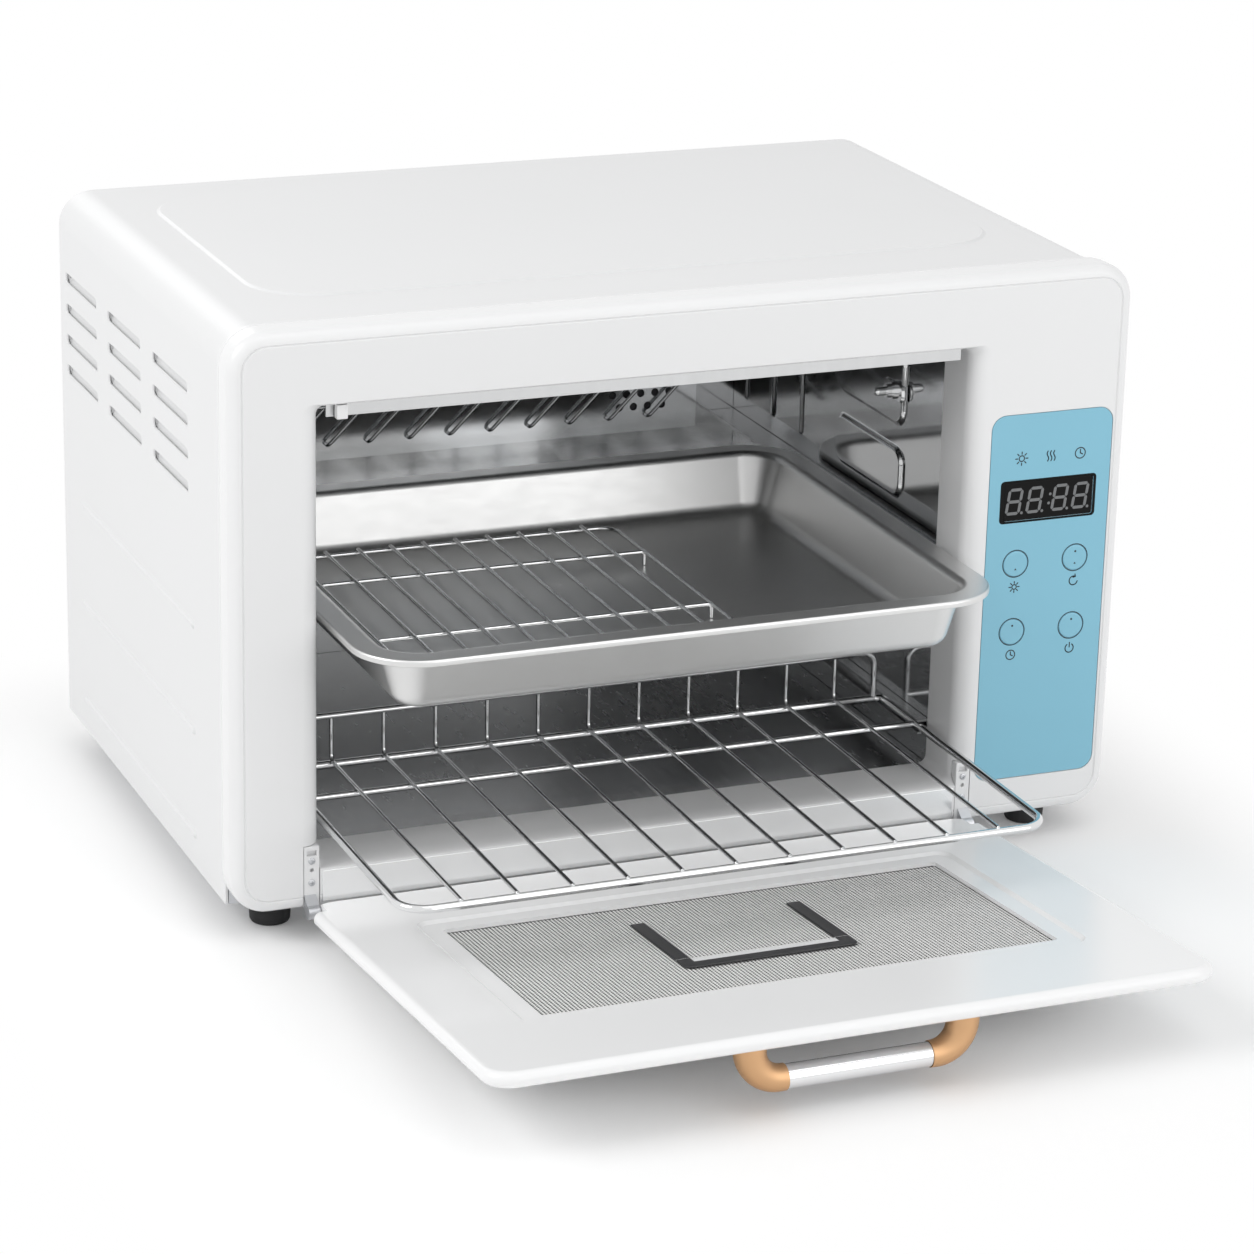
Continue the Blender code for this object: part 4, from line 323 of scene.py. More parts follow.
def soft_block(x0, x1, y0, y1, z0, z1, edge):
    """A block with rounded edges all round."""
    rings = []
    for depth, inset in soft_depths(y0, y1, edge):
        outline = rounded(x0 + inset, x1 - inset, z0 + inset, z1 - inset, max(edge - inset, edge / 8), 4)
        rings.append([point("Y", a, b, depth) for a, b in outline])
    return loft(rings)


def soft_depths(low, high, edge, steps=4):
    """Depths and insets that round both ends of a form along its axis."""
    near = []
    far = []
    for step in range(steps + 1):
        angle = math.radians(90 * step / steps)
        near.append((low + edge * (1 - math.sin(angle)), edge * (1 - math.cos(angle))))
        far.append((high - edge * (1 - math.cos(angle)), edge * (1 - math.sin(angle))))
    return sorted(near) + sorted(far)


def rod(axis, a, b, radius, low, high, sides=24):
    return prism(circle(a, b, radius, sides), axis, low, high)


def turned(axis, a, b, stations, sides=32):
    """A turned form: stations are pairs of depth along the axis and radius."""
    rings = []
    for depth, radius in stations:
        rings.append([point(axis, u, v, depth) for u, v in circle(a, b, radius, sides)])
    return loft(rings)


def bend(corners, radius, steps=8, closed=False):
    """A path through the corners with each inner corner rounded to an arc."""
    places = [Vector(corner) for corner in corners]
    path = []
    for i, corner in enumerate(places):
        if not closed and i in (0, len(places) - 1):
            path.append(corner)
            continue
        before = (places[i - 1] - corner).normalized()
        after = (places[(i + 1) % len(places)] - corner).normalized()
        half = before.angle(after) / 2
        start = corner + before * (radius / math.tan(half))
        end = corner + after * (radius / math.tan(half))
        middle = corner + (before + after).normalized() * (radius / math.sin(half))
        first = start - middle
        total = first.angle(end - middle)
        axis = first.cross(end - middle).normalized()
        for step in range(steps + 1):
            turn = Matrix.Rotation(total * step / steps, 3, axis)
            path.append(middle + turn @ first)
    return path


def path_normal(path):
    """The normal of the plane that a bent path lies in; any normal for a straight one."""
    first = path[1] - path[0]
    for place in path[2:]:
        normal = first.cross(place - path[0])
        if normal.length > 1e-9:
            return normal.normalized()
    return first.orthogonal().normalized()


def sweep(path, radius, sides=12, closed=False, radii=None):
    """A round wire or tube along a path that lies in one plane."""
    normal = path_normal(path)
    last = len(path) - 1
    rings = []
    for i, place in enumerate(path):
        after = path[(i + 1) % len(path)] - place
        before = place - path[i - 1]
        if not closed and i == 0:
            before = after
        if not closed and i == last:
            after = before
        along = (before.normalized() + after.normalized()).normalized()
        across = along.cross(normal) / along.dot(after.normalized())
        size = radii[i] if radii else radius
        rings.append([place + normal * a + across * b for a, b in circle(0, 0, size, sides)])
    return loft(rings, loop=closed)


def wire(path, radius, sides=12):
    """An open wire with rounded ends."""
    start = (path[0] - path[1]).normalized()
    finish = (path[-1] - path[-2]).normalized()
    whole = [path[0], path[0] - start * radius * 0.35] + path[1:-1]
    whole += [path[-1] - finish * radius * 0.35, path[-1]]
    radii = [radius] * len(whole)
    radii[0] = radius * 0.7
    radii[-1] = radius * 0.7
    return sweep(whole, radius, sides, radii=radii)


def soft_pad(axis, edges, radius, slope, low, high, steps=8, rise=7):
    """A pressed pad whose sides rise in an S from the sheet at low to its flat face at high."""
    a0, a1, b0, b1 = edges
    rings = []
    back = low - (high - low) * 0.4
    rings.append([point(axis, a, b, back) for a, b in rounded(a0, a1, b0, b1, radius, steps)])
    for step in range(rise + 1):
        share = step / rise
        inset = slope * share
        depth = low + (high - low) * share * share * (3 - 2 * share)
        corner = max(radius - inset, slope / 4)
        outline = rounded(a0 + inset, a1 - inset, b0 + inset, b1 - inset, corner, steps)
        rings.append([point(axis, a, b, depth) for a, b in outline])
    return loft(rings)


def joined(meshes):
    """Puts several meshes into one."""
    whole = bmesh.new()
    for mesh in meshes:
        data = bpy.data.meshes.new("part")
        mesh.to_mesh(data)
        mesh.free()
        whole.from_mesh(data)
        bpy.data.meshes.remove(data)
    return whole


def mesh_object(name, mesh):
    data = bpy.data.meshes.new(name)
    mesh.to_mesh(data)
    mesh.free()
    made = bpy.data.objects.new(name, data)
    bpy.context.scene.collection.objects.link(made)
    return made


def cut(target, *tools):
    """Cuts the tools, which don't touch each other, from the target."""
    base = mesh_object("base", target)
    other = mesh_object("cutter", joined(tools))
    change = base.modifiers.new("cut", "BOOLEAN")
    change.operation = "DIFFERENCE"
    change.solver = "EXACT"
    change.object = other
    graph = bpy.context.evaluated_depsgraph_get()
    result = bmesh.new()
    result.from_mesh(base.evaluated_get(graph).to_mesh())
    for spent in (base, other):
        data = spent.data
        bpy.data.objects.remove(spent)
        bpy.data.meshes.remove(data)
    return result


def piece(name, mesh, finish, body, replaced=(), place=None, angle=35):
    """One finished piece: an object with its material, on the body that carries it."""
    made = mesh_object(name, mesh)
    made.data.materials.append(finish)
    made.data.shade_smooth()
    made.data.set_sharp_from_angle(angle=math.radians(angle))
    normals = made.modifiers.new("even_normals", "WEIGHTED_NORMAL")
    normals.keep_sharp = True
    normals.weight = 60
    if place is not None:
        made.matrix_world = place
    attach(made, body)
    if replaced:
        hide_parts(*replaced)
    return made


def recoat(name, finish):
    """Gives a solid of the frame its finished material."""
    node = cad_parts[name]
    for item in node.material_slots:
        item.material = finish
    if not node.material_slots:
        node.data.materials.append(finish)


def shifted():
    """The place of pieces that are built with y = 0 on the front face."""
    return Matrix.Translation((0, FRONT_Y, 0))


def door_place():
    """The place of the open door's pieces, which are built closed."""
    return Matrix.Translation((0, FRONT_Y + DOOR_AXIS_Y, DOOR_AXIS_Z)) @ Matrix.Rotation(DOOR_OPEN, 4, "X")


# Shader groups


def open_group(name, inputs, outputs):
    tree = bpy.data.node_groups.new(name, "ShaderNodeTree")
    for title, kind in inputs:
        tree.interface.new_socket(name=title, in_out="INPUT", socket_type=kind)
    for title, kind in outputs:
        tree.interface.new_socket(name=title, in_out="OUTPUT", socket_type=kind)
    return tree, tree.nodes.new("NodeGroupInput"), tree.nodes.new("NodeGroupOutput")


VALUE = "NodeSocketFloat"
COLOUR = "NodeSocketColor"
VECTOR = "NodeSocketVector"


def noise_node(tree, vector, scale, detail, roughness=0.5):
    noise = tree.nodes.new("ShaderNodeTexNoise")
    noise.inputs["Detail"].default_value = detail
    noise.inputs["Roughness"].default_value = roughness
    tree.links.new(vector, noise.inputs["Vector"])
    tree.links.new(scale, noise.inputs["Scale"])
    return noise


def range_node(tree, value, low, high, start=0.2, end=0.8):
    spread = tree.nodes.new("ShaderNodeMapRange")
    spread.interpolation_type = "SMOOTHSTEP"
    spread.inputs["From Min"].default_value = start
    spread.inputs["From Max"].default_value = end
    tree.links.new(value, spread.inputs["Value"])
    tree.links.new(low, spread.inputs["To Min"])
    tree.links.new(high, spread.inputs["To Max"])
    return spread


def tint_node(tree, share, first, second):
    mix = tree.nodes.new("ShaderNodeMix")
    mix.data_type = "RGBA"
    tree.links.new(share, mix.inputs[0])
    tree.links.new(first, mix.inputs[6])
    tree.links.new(second, mix.inputs[7])
    return mix


def skin_group():
    """Cloudy tone and sheen with a fine grain: paint, moulded plastic, rubber and film."""
    known = bpy.data.node_groups.get("coated skin")
    if known:
        return known
    tree, start, end = open_group(
        "coated skin",
        (("Vector", VECTOR), ("Cloud Scale", VALUE), ("Grain Scale", VALUE), ("Tone A", COLOUR),
         ("Tone B", COLOUR), ("Sheen Low", VALUE), ("Sheen High", VALUE)),
        (("Color", COLOUR), ("Roughness", VALUE), ("Height", VALUE)),
    )
    cloud = noise_node(tree, start.outputs["Vector"], start.outputs["Cloud Scale"], 3.0)
    tint = tint_node(tree, cloud.outputs["Fac"], start.outputs["Tone A"], start.outputs["Tone B"])
    tree.links.new(tint.outputs[2], end.inputs["Color"])
    grain = noise_node(tree, start.outputs["Vector"], start.outputs["Grain Scale"], 2.0)
    sheen = range_node(tree, cloud.outputs["Fac"], start.outputs["Sheen Low"], start.outputs["Sheen High"])
    tree.links.new(sheen.outputs["Result"], end.inputs["Roughness"])
    tree.links.new(grain.outputs["Fac"], end.inputs["Height"])
    return tree


def grain_group():
    """Rolled or brushed metal: long fine lines in tone, sheen and height."""
    known = bpy.data.node_groups.get("rolled grain")
    if known:
        return known
    tree, start, end = open_group(
        "rolled grain",
        (("Vector", VECTOR), ("Stretch", VECTOR), ("Line Scale", VALUE), ("Cloud Scale", VALUE),
         ("Tone A", COLOUR), ("Tone B", COLOUR), ("Sheen Low", VALUE), ("Sheen High", VALUE)),
        (("Color", COLOUR), ("Roughness", VALUE), ("Height", VALUE)),
    )
    drawn = tree.nodes.new("ShaderNodeVectorMath")
    drawn.operation = "MULTIPLY"
    tree.links.new(start.outputs["Vector"], drawn.inputs[0])
    tree.links.new(start.outputs["Stretch"], drawn.inputs[1])
    lines = noise_node(tree, drawn.outputs["Vector"], start.outputs["Line Scale"], 4.0, 0.6)
    cloud = noise_node(tree, start.outputs["Vector"], start.outputs["Cloud Scale"], 2.0)
    blend = tree.nodes.new("ShaderNodeMath")
    blend.operation = "MULTIPLY_ADD"
    blend.inputs[1].default_value = 0.55
    tree.links.new(lines.outputs["Fac"], blend.inputs[0])
    half = tree.nodes.new("ShaderNodeMath")
    half.operation = "MULTIPLY"
    half.inputs[1].default_value = 0.45
    tree.links.new(cloud.outputs["Fac"], half.inputs[0])
    tree.links.new(half.outputs["Value"], blend.inputs[2])
    tint = tint_node(tree, blend.outputs["Value"], start.outputs["Tone A"], start.outputs["Tone B"])
    tree.links.new(tint.outputs[2], end.inputs["Color"])
    sheen = range_node(tree, blend.outputs["Value"], start.outputs["Sheen Low"], start.outputs["Sheen High"])
    tree.links.new(sheen.outputs["Result"], end.inputs["Roughness"])
    tree.links.new(lines.outputs["Fac"], end.inputs["Height"])
    return tree


# Materials


def blank(name):
    made = bpy.data.materials.new(name)
    made.use_nodes = True
    return made, made.node_tree, made.node_tree.nodes["Principled BSDF"]


def place_group(tree, group, values, shader, bump, distance, rough=True):
    """Puts a group into a material and feeds the shader from it."""
    where = tree.nodes.new("ShaderNodeTexCoord")
    node = tree.nodes.new("ShaderNodeGroup")
    node.node_tree = group
    tree.links.new(where.outputs["Object"], node.inputs["Vector"])
    for title, value in values.items():
        node.inputs[title].default_value = value
    tree.links.new(node.outputs["Color"], shader.inputs["Base Color"])
    if rough:
        tree.links.new(node.outputs["Roughness"], shader.inputs["Roughness"])
    relief = tree.nodes.new("ShaderNodeBump")
    relief.inputs["Strength"].default_value = bump
    relief.inputs["Distance"].default_value = distance
    tree.links.new(node.outputs["Height"], relief.inputs["Height"])
    tree.links.new(relief.outputs["Normal"], shader.inputs["Normal"])
    return node


def shade(colour, factor):
    """A colour made a little darker or paler."""
    return (colour[0] * factor, colour[1] * factor, colour[2] * factor, 1.0)


def coated(name, colour, sheen, grain=900.0, bump=0.15, spread=0.03, cloud=14.0, specular=0.5):
    """Paint, plastic, rubber or film with a cloud of tone and, between two sheens, of gloss."""
    known = bpy.data.materials.get(name)
    if known:
        return known
    made, tree, shader = blank(name)
    place_group(
        tree,
        skin_group(),
        {
            "Cloud Scale": cloud,
            "Grain Scale": grain,
            "Tone A": shade(colour, 1 - spread),
            "Tone B": shade(colour, 1 + spread),
            "Sheen Low": sheen[0],
            "Sheen High": sheen[1],
        },
        shader,
        bump,
        0.0002,
        rough=sheen[0] != sheen[1],
    )
    shader.inputs["Roughness"].default_value = sheen[0]
    shader.inputs["Specular IOR Level"].default_value = specular
    return made


def metal(name, colour, sheen, stretch=(1.0, 1.0, 1.0), lines=60.0, bump=0.08, spread=0.06, cloud=9.0):
    """Bare, plated or polished metal with a grain along the direction of least stretch."""
    known = bpy.data.materials.get(name)
    if known:
        return known
    made, tree, shader = blank(name)
    place_group(
        tree,
        grain_group(),
        {
            "Stretch": stretch,
            "Line Scale": lines,
            "Cloud Scale": cloud,
            "Tone A": shade(colour, 1 - spread),
            "Tone B": shade(colour, 1 + spread),
            "Sheen Low": sheen[0],
            "Sheen High": sheen[1],
        },
        shader,
        bump,
        0.0001,
    )
    shader.inputs["Metallic"].default_value = 1.0
    return made


def clear(name, colour, sheen, index=1.47):
    """Glass with a faint cloud of tint and a nearly perfect polish."""
    known = bpy.data.materials.get(name)
    if known:
        return known
    made, tree, shader = blank(name)
    place_group(
        tree,
        skin_group(),
        {
            "Cloud Scale": 10.0,
            "Grain Scale": 60.0,
            "Tone A": shade(colour, 0.97),
            "Tone B": shade(colour, 1.03),
            "Sheen Low": sheen[0],
            "Sheen High": sheen[1],
        },
        shader,
        0.01,
        0.0001,
    )
    shader.inputs["Transmission Weight"].default_value = 1.0
    shader.inputs["IOR"].default_value = index
    return made


def finishes():
    """All the finishes of the cabinet, made once."""
    tones = bpy.context.scene.sterilizer_colours
    return {
        "enamel": coated("white_enamel", tones.cabinet, (0.40, 0.40), grain=750.0, bump=0.10, spread=0.008),
        "moulding": coated(
            "white_moulding", tones.moulding, (0.27, 0.27),
            grain=520.0, bump=0.05, spread=0.006,
        ),
        # The door's white is paler than the front frame's: painted light that offsets the shade the cabinet
        # casts on the open door.
        "door": coated("white_door_gloss_painted_light", tones.door, (0.22, 0.22), grain=300.0, bump=0.03, spread=0.006),
        "film": coated(
            "blue_film", tones.film, (0.30, 0.38),
            grain=2600.0, bump=0.08, spread=0.015, cloud=30.0,
        ),
        "cap": coated(
            "blue_key_film", tones.film, (0.26, 0.34),
            grain=2600.0, bump=0.08, spread=0.015, cloud=60.0,
        ),
        "ink": coated("dark_print", (0.010, 0.018, 0.024), (0.45, 0.6), grain=3000.0, bump=0.1, spread=0.1),
        "lens": coated(
            "smoked_lens", (0.003, 0.003, 0.003), (0.05, 0.09),
            grain=80.0, bump=0.01, specular=0.15,
        ),
        "segment": coated("unlit_segment", tones.digits, (0.25, 0.35), grain=2000.0, bump=0.05, spread=0.05),
        "rubber": coated(
            "foot_rubber", (0.018, 0.018, 0.019), (0.62, 0.80),
            grain=1500.0, bump=0.4, spread=0.15,
        ),
        "black": coated(
            "matt_black", (0.022, 0.022, 0.024), (0.32, 0.45),
            grain=1300.0, bump=0.2, spread=0.1,
        ),
        "band": coated(
            "charcoal_band", (0.030, 0.030, 0.032), (0.30, 0.42),
            grain=1600.0, bump=0.2, spread=0.08,
        ),
        "board": coated(
            "green_board", (0.012, 0.110, 0.045), (0.30, 0.45),
            grain=700.0, bump=0.3, spread=0.18,
        ),
        "liner": metal("chamber_steel", (0.58, 0.585, 0.59), (0.06, 0.12), (1.0, 1.0, 5.0), 60.0, 0.02, 0.03),
        "floor_steel": metal(
            "chamber_floor_steel", (0.42, 0.425, 0.43), (0.20, 0.30),
            (5.0, 1.0, 1.0), 60.0, 0.03, 0.04,
        ),
        "rail_steel": metal(
            "rail_steel", (0.62, 0.625, 0.63), (0.18, 0.28),
            (5.0, 1.0, 1.0), 60.0, 0.03, 0.04,
        ),
        "sill": metal("sill_steel", (0.88, 0.883, 0.886), (0.16, 0.22), (1.0, 9.0, 9.0), 50.0, 0.01, 0.02),
        "reflector": metal(
            "lamp_mirror", (0.80, 0.81, 0.82), (0.08, 0.16),
            (1.0, 9.0, 9.0), 50.0, 0.03, 0.03,
        ),
        "tray": metal("brushed_tray", (0.72, 0.72, 0.716), (0.34, 0.42), (1.0, 9.0, 1.0), 90.0, 0.03, 0.03),
        "chrome": metal("bright_wire", (0.74, 0.745, 0.75), (0.07, 0.14), (1.0, 1.0, 1.0), 160.0, 0.03, 0.05),
        # Darker than the bright wire: the guard's steel is painted dark to stand in for its reflection of the
        # dark chamber.
        "guard": metal("painted_dark_guard_wire", (0.42, 0.425, 0.43), (0.14, 0.24), (1.0, 1.0, 1.0), 160.0, 0.03, 0.05),
        # The window mesh is a pale non-metal: painted reflection that stands in for the bright white its
        # steel wires reflect.
        "mesh": coated("mesh_wire", (0.86, 0.86, 0.85), (0.30, 0.42), grain=1800.0, bump=0.1, spread=0.05),
        "bar": metal("polished_bar", (0.80, 0.80, 0.81), (0.05, 0.10), (1.0, 40.0, 40.0), 60.0, 0.02, 0.03),
        "gold": metal("satin_copper_gold", tones.handle, (0.40, 0.47), (1.0, 1.0, 1.0), 260.0, 0.06, 0.03),
        "zinc": metal("zinc_plate", (0.56, 0.57, 0.59), (0.34, 0.50), (1.0, 1.0, 1.0), 130.0, 0.1, 0.12),
        # Smoked glass with its tint darkened to near black: painted shade that stands in for the shadow under
        # the open door, seen through the mesh holes.
        "glass": clear("shade_darkened_window_glass", tones.glass, (0.0, 0.03)),
        "tube": clear("lamp_quartz", (0.90, 0.93, 0.96), (0.02, 0.08)),
    }


# Printed marks


def stroke(places, width, front, thick, closed=False):
    """A printed line through flat places (x, z): one strip for each stretch and a dot at each turn."""
    parts = []
    ends = places + places[:1] if closed else places
    for (x0, z0), (x1, z1) in zip(ends, ends[1:]):
        along = Vector((x1 - x0, z1 - z0))
        if along.length < 1e-7:
            continue
        side = Vector((-along.y, along.x)).normalized() * width / 2
        outline = (
            (x0 + side.x, z0 + side.y),
            (x0 - side.x, z0 - side.y),
            (x1 - side.x, z1 - side.y),
            (x1 + side.x, z1 + side.y),
        )
        parts.append(prism(outline, "Y", front - thick, front))
    for x, z in places:
        parts.append(rod("Y", x, z, width / 2, front - thick, front, 8))
    return parts


def ring_band(x, z, radius, width, front, thick, sides=40):
    """A printed ring."""
    rings = []
    for size, depth in (
        (radius + width / 2, front), (radius + width / 2, front - thick),
        (radius - width / 2, front - thick), (radius - width / 2, front),
    ):
        rings.append([point("Y", a, b, depth) for a, b in circle(x, z, size, sides)])
    return loft(rings, loop=True)


def lamp_mark(x, z, size, width, front, thick):
    """A lamp with rays round it."""
    parts = [ring_band(x, z, size * 0.42, width, front, thick, 20)]
    for i in range(8):
        angle = math.radians(45 * i)
        near = size * 0.66
        far = size * 0.98
        parts += stroke(
            [(x + near * math.cos(angle), z + near * math.sin(angle)),
             (x + far * math.cos(angle), z + far * math.sin(angle))],
            width, front, thick,
        )
    return parts


def cycle_mark(x, z, size, width, front, thick):
    """A round arrow."""
    curve = arc((x, z), size * 0.8, 60, 350, 14)
    tip = curve[0]
    parts = stroke(curve, width, front, thick)
    parts += stroke(
        [(tip[0] - size * 0.12, tip[1] + size * 0.42), tip, (tip[0] - size * 0.48, tip[1] - size * 0.12)],
        width, front, thick,
    )
    return parts


def clock_mark(x, z, size, width, front, thick):
    """A clock face with two hands."""
    parts = [ring_band(x, z, size * 0.85, width, front, thick, 24)]
    parts += stroke([(x, z + size * 0.55), (x, z), (x + size * 0.4, z - size * 0.2)], width, front, thick)
    return parts


def power_mark(x, z, size, width, front, thick):
    """The usual mark of a power key: a broken ring with a stroke."""
    parts = stroke(arc((x, z), size * 0.8, 125, 415, 16), width, front, thick)
    parts += stroke([(x, z + size * 0.15), (x, z + size * 1.0)], width, front, thick)
    return parts


def warm_air_mark(x, z, size, width, front, thick):
    """Three rising waves."""
    parts = []
    for i in (-1, 0, 1):
        wave = []
        for step in range(9):
            share = step / 8
            bow = size * 0.16 * math.sin(share * 2 * math.pi)
            wave.append((x + i * size * 0.6 + bow, z + size * (2 * share - 1) * 0.85))
        parts += stroke(wave, width, front, thick)
    return parts


def segment_outline(x0, z0, x1, z1, thick):
    """One bar of a seven-bar digit, with pointed ends."""
    start = Vector((x0, z0))
    end = Vector((x1, z1))
    along = (end - start).normalized()
    side = Vector((-along.y, along.x)) * thick / 2
    tip = along * thick / 2
    start += along * thick * 0.12
    end -= along * thick * 0.12
    corners = (start, start + tip + side, end - tip + side, end, end - tip - side, start + tip - side)
    return [(corner.x, corner.y) for corner in corners]


def digit_parts(x, z, width, height, thick, front, depth):
    """A slanted seven-bar digit with its point."""
    half = height / 2
    bars = (
        (0, half * 2, width, half * 2), (0, half, width, half), (0, 0, width, 0),
        (0, 0, 0, half), (0, half, 0, half * 2), (width, 0, width, half), (width, half, width, half * 2),
    )
    parts = []
    for x0, z0, x1, z1 in bars:
        outline = segment_outline(x0, z0, x1, z1, thick)
        parts.append(prism([(x + a + DIGIT_LEAN * b, z + b) for a, b in outline], "Y", front - depth, front))
    parts.append(rod("Y", x + width + thick * 1.15, z, thick * 0.5, front - depth, front, 12))
    return parts


# Screws


def screw(axis, a, b, face, out, radius):
    """A low domed screw head with a crossed recess. It stands on face and points out (1 or -1)."""
    high = radius * 0.45
    stations = [(face - out * high * 0.3, radius), (face + out * high * 0.25, radius)]
    for step in range(1, 6):
        angle = math.radians(80 * step / 5)
        stations.append((face + out * high * (0.25 + 0.75 * math.sin(angle)), radius * math.cos(angle)))
    head = turned(axis, a, b, stations, 24)
    arm = radius * 0.55
    thin = radius * 0.13
    far = face + out * high * 2
    near = face + out * high * 0.35
    low, top = sorted((near, far))
    for wide, tall in ((arm, thin), (thin, arm)):
        slot = ((a - wide, b - tall), (a + wide, b - tall), (a + wide, b + tall), (a - wide, b + tall))
        head = cut(head, prism(slot, axis, low, top))
    return head


# Front frame


def frame_ring(sides, low, high, depth, radius):
    left, right, bottom, top = sides
    outline = rounded(left - low[0], right + low[0], bottom - low[1], top + high, radius)
    return [point("Y", a, b, depth) for a, b in outline]


def build_front_frame(coats):
    outer = (FRAME_LEFT, FRAME_RIGHT, BASE_Z, FRAME_TOP)
    profile = [(RIM_LINE[0], 0.0), (RIM_LINE[1], RIM_LINE[2])]
    steps = 9
    for step in range(steps + 1):
        angle = math.radians(90 * step / steps)
        profile.append((FRAME_ROUND * (1 - math.sin(angle)), FRAME_ROUND * (1 - math.cos(angle))))
    start, wide, deep = REAR_GROOVE
    near = FRAME_DEPTH - start
    profile += [(0.0, near - 0.0003), (0.0003, near), (deep, near), (deep, near + wide)]
    profile += [(0.0007, near + wide), (0.0004, near + wide + 0.0003), (0.0004, FRAME_DEPTH)]
    profile += [(FRAME_WALL, FRAME_DEPTH), (FRAME_WALL, FRAME_FACE)]
    rings = []
    for inset, depth in profile:
        rings.append(frame_ring(outer, (-inset, -inset), -inset, depth, FRAME_CORNER - inset))
    wall = COLLAR_WALL
    for depth in (FRAME_FACE, COLLAR_DEPTH):
        rings.append(frame_ring(OPENING, (wall, wall), wall, depth, OPENING_CORNER + wall))
    rings.append(frame_ring(OPENING, (0, 0), 0, COLLAR_DEPTH, OPENING_CORNER))
    for step in range(steps + 1):
        angle = math.radians(90 * step / steps)
        share = 1 - math.cos(angle)
        depth = REVEAL_SIDE * (1 - math.sin(angle))
        low = (REVEAL_SIDE * share, REVEAL_BOTTOM * share)
        rings.append(frame_ring(OPENING, low, REVEAL_TOP * share, depth, OPENING_CORNER))
    solid = loft(rings, loop=True)
    left, right, low, high = PANEL
    recess = rounded(left - GAP, right + GAP, low - GAP, high + GAP, PANEL_CORNER + GAP, 12)
    tools = [prism(recess, "Y", -OVERRUN, PANEL_SHEET + GAP)]
    for outer_x, inward in ((DOOR_LEFT + HINGE_SIDE, 1), (DOOR_RIGHT - HINGE_SIDE, -1)):
        x0, x1 = sorted((outer_x - GAP * inward, outer_x + (HINGE_BLOCK[0] + GAP) * inward))
        low = HINGE_LOW - GAP
        tools.append(block(x0, x1, -OVERRUN, HINGE_BLOCK[2] + 2 * GAP, low, low + HINGE_BLOCK[1] + 2 * GAP))
    solid = cut(solid, *tools)
    tools = [block(DISPLAY[0], DISPLAY[1], -OVERRUN, FRAME_FACE + OVERRUN, DISPLAY[2], DISPLAY[3])]
    for _, _, x, z in KEYS:
        tools.append(rod("Y", x, z, KEY_RADIUS + GAP, -OVERRUN, FRAME_FACE - KEY_SOCKET_WALL, 48))
    tools.append(block(*SENSOR_SLOT, OPENING[3] - OVERRUN, OPENING[3] + COLLAR_WALL + OVERRUN))
    solid = cut(solid, *tools)
    piece(
        "front_moulding", solid, coats["moulding"], "cabinet",
        ("front_frame",), shifted(), 30,
    )


# Shell, rear panel, base and feet


def shell_outline(steps=16):
    outer = []
    inner = []
    for edge, offset in ((outer, 0), (inner, SHELL_SHEET)):
        radius = SHELL_CORNER - offset
        edge.append((SHELL_LEFT + offset, BASE_Z))
        for centre, start in ((SHELL_LEFT + SHELL_CORNER, 180), (SHELL_RIGHT - SHELL_CORNER, 90)):
            for step in range(steps + 1):
                angle = math.radians(start - 90 * step / steps)
                height = SHELL_TOP - SHELL_CORNER + radius * math.sin(angle)
                edge.append((centre + radius * math.cos(angle), height))
        edge.append((SHELL_RIGHT - offset, BASE_Z))
    return outer + inner[::-1]


def louvre_cutter(side, inward, front, top):
    """The slot of one louvre, opened a little at the outside so that its edge catches light."""
    rings = []
    edge = 0.0005
    for depth, grow in ((-0.002, edge), (0.0, edge), (edge, 0.0), (0.004, 0.0)):
        back = front + LOUVRE_LENGTH + grow
        low = top - LOUVRE_HEIGHT - grow
        outline = rounded(front - grow, back, low, top + grow, 0.0017 + grow, 5)
        rings.append([point("X", a, b, side + inward * depth) for a, b in outline])
    return loft(rings)


def louvre_vane(side, inward, front, top):
    """The pressed tongue behind one slot: it leans inwards from the lower edge, closed at both ends."""
    outside = []
    inside = []
    for step in range(9):
        share = step / 8
        depth = 0.0016 + 0.0022 * share
        up = top - LOUVRE_HEIGHT - 0.0006 + (LOUVRE_HEIGHT + 0.0012) * share
        outside.append((side + inward * depth, up))
        inside.append((side + inward * (depth + 0.0006), up))
    parts = [prism(outside + inside[::-1], "Y", front - 0.0002, front + LOUVRE_LENGTH + 0.0002)]
    cheek = outside + [(side + inward * 0.0009, top + 0.0006)]
    for start in (front - 0.0006, front + LOUVRE_LENGTH):
        parts.append(prism(cheek, "Y", start, start + 0.0006))
    return parts


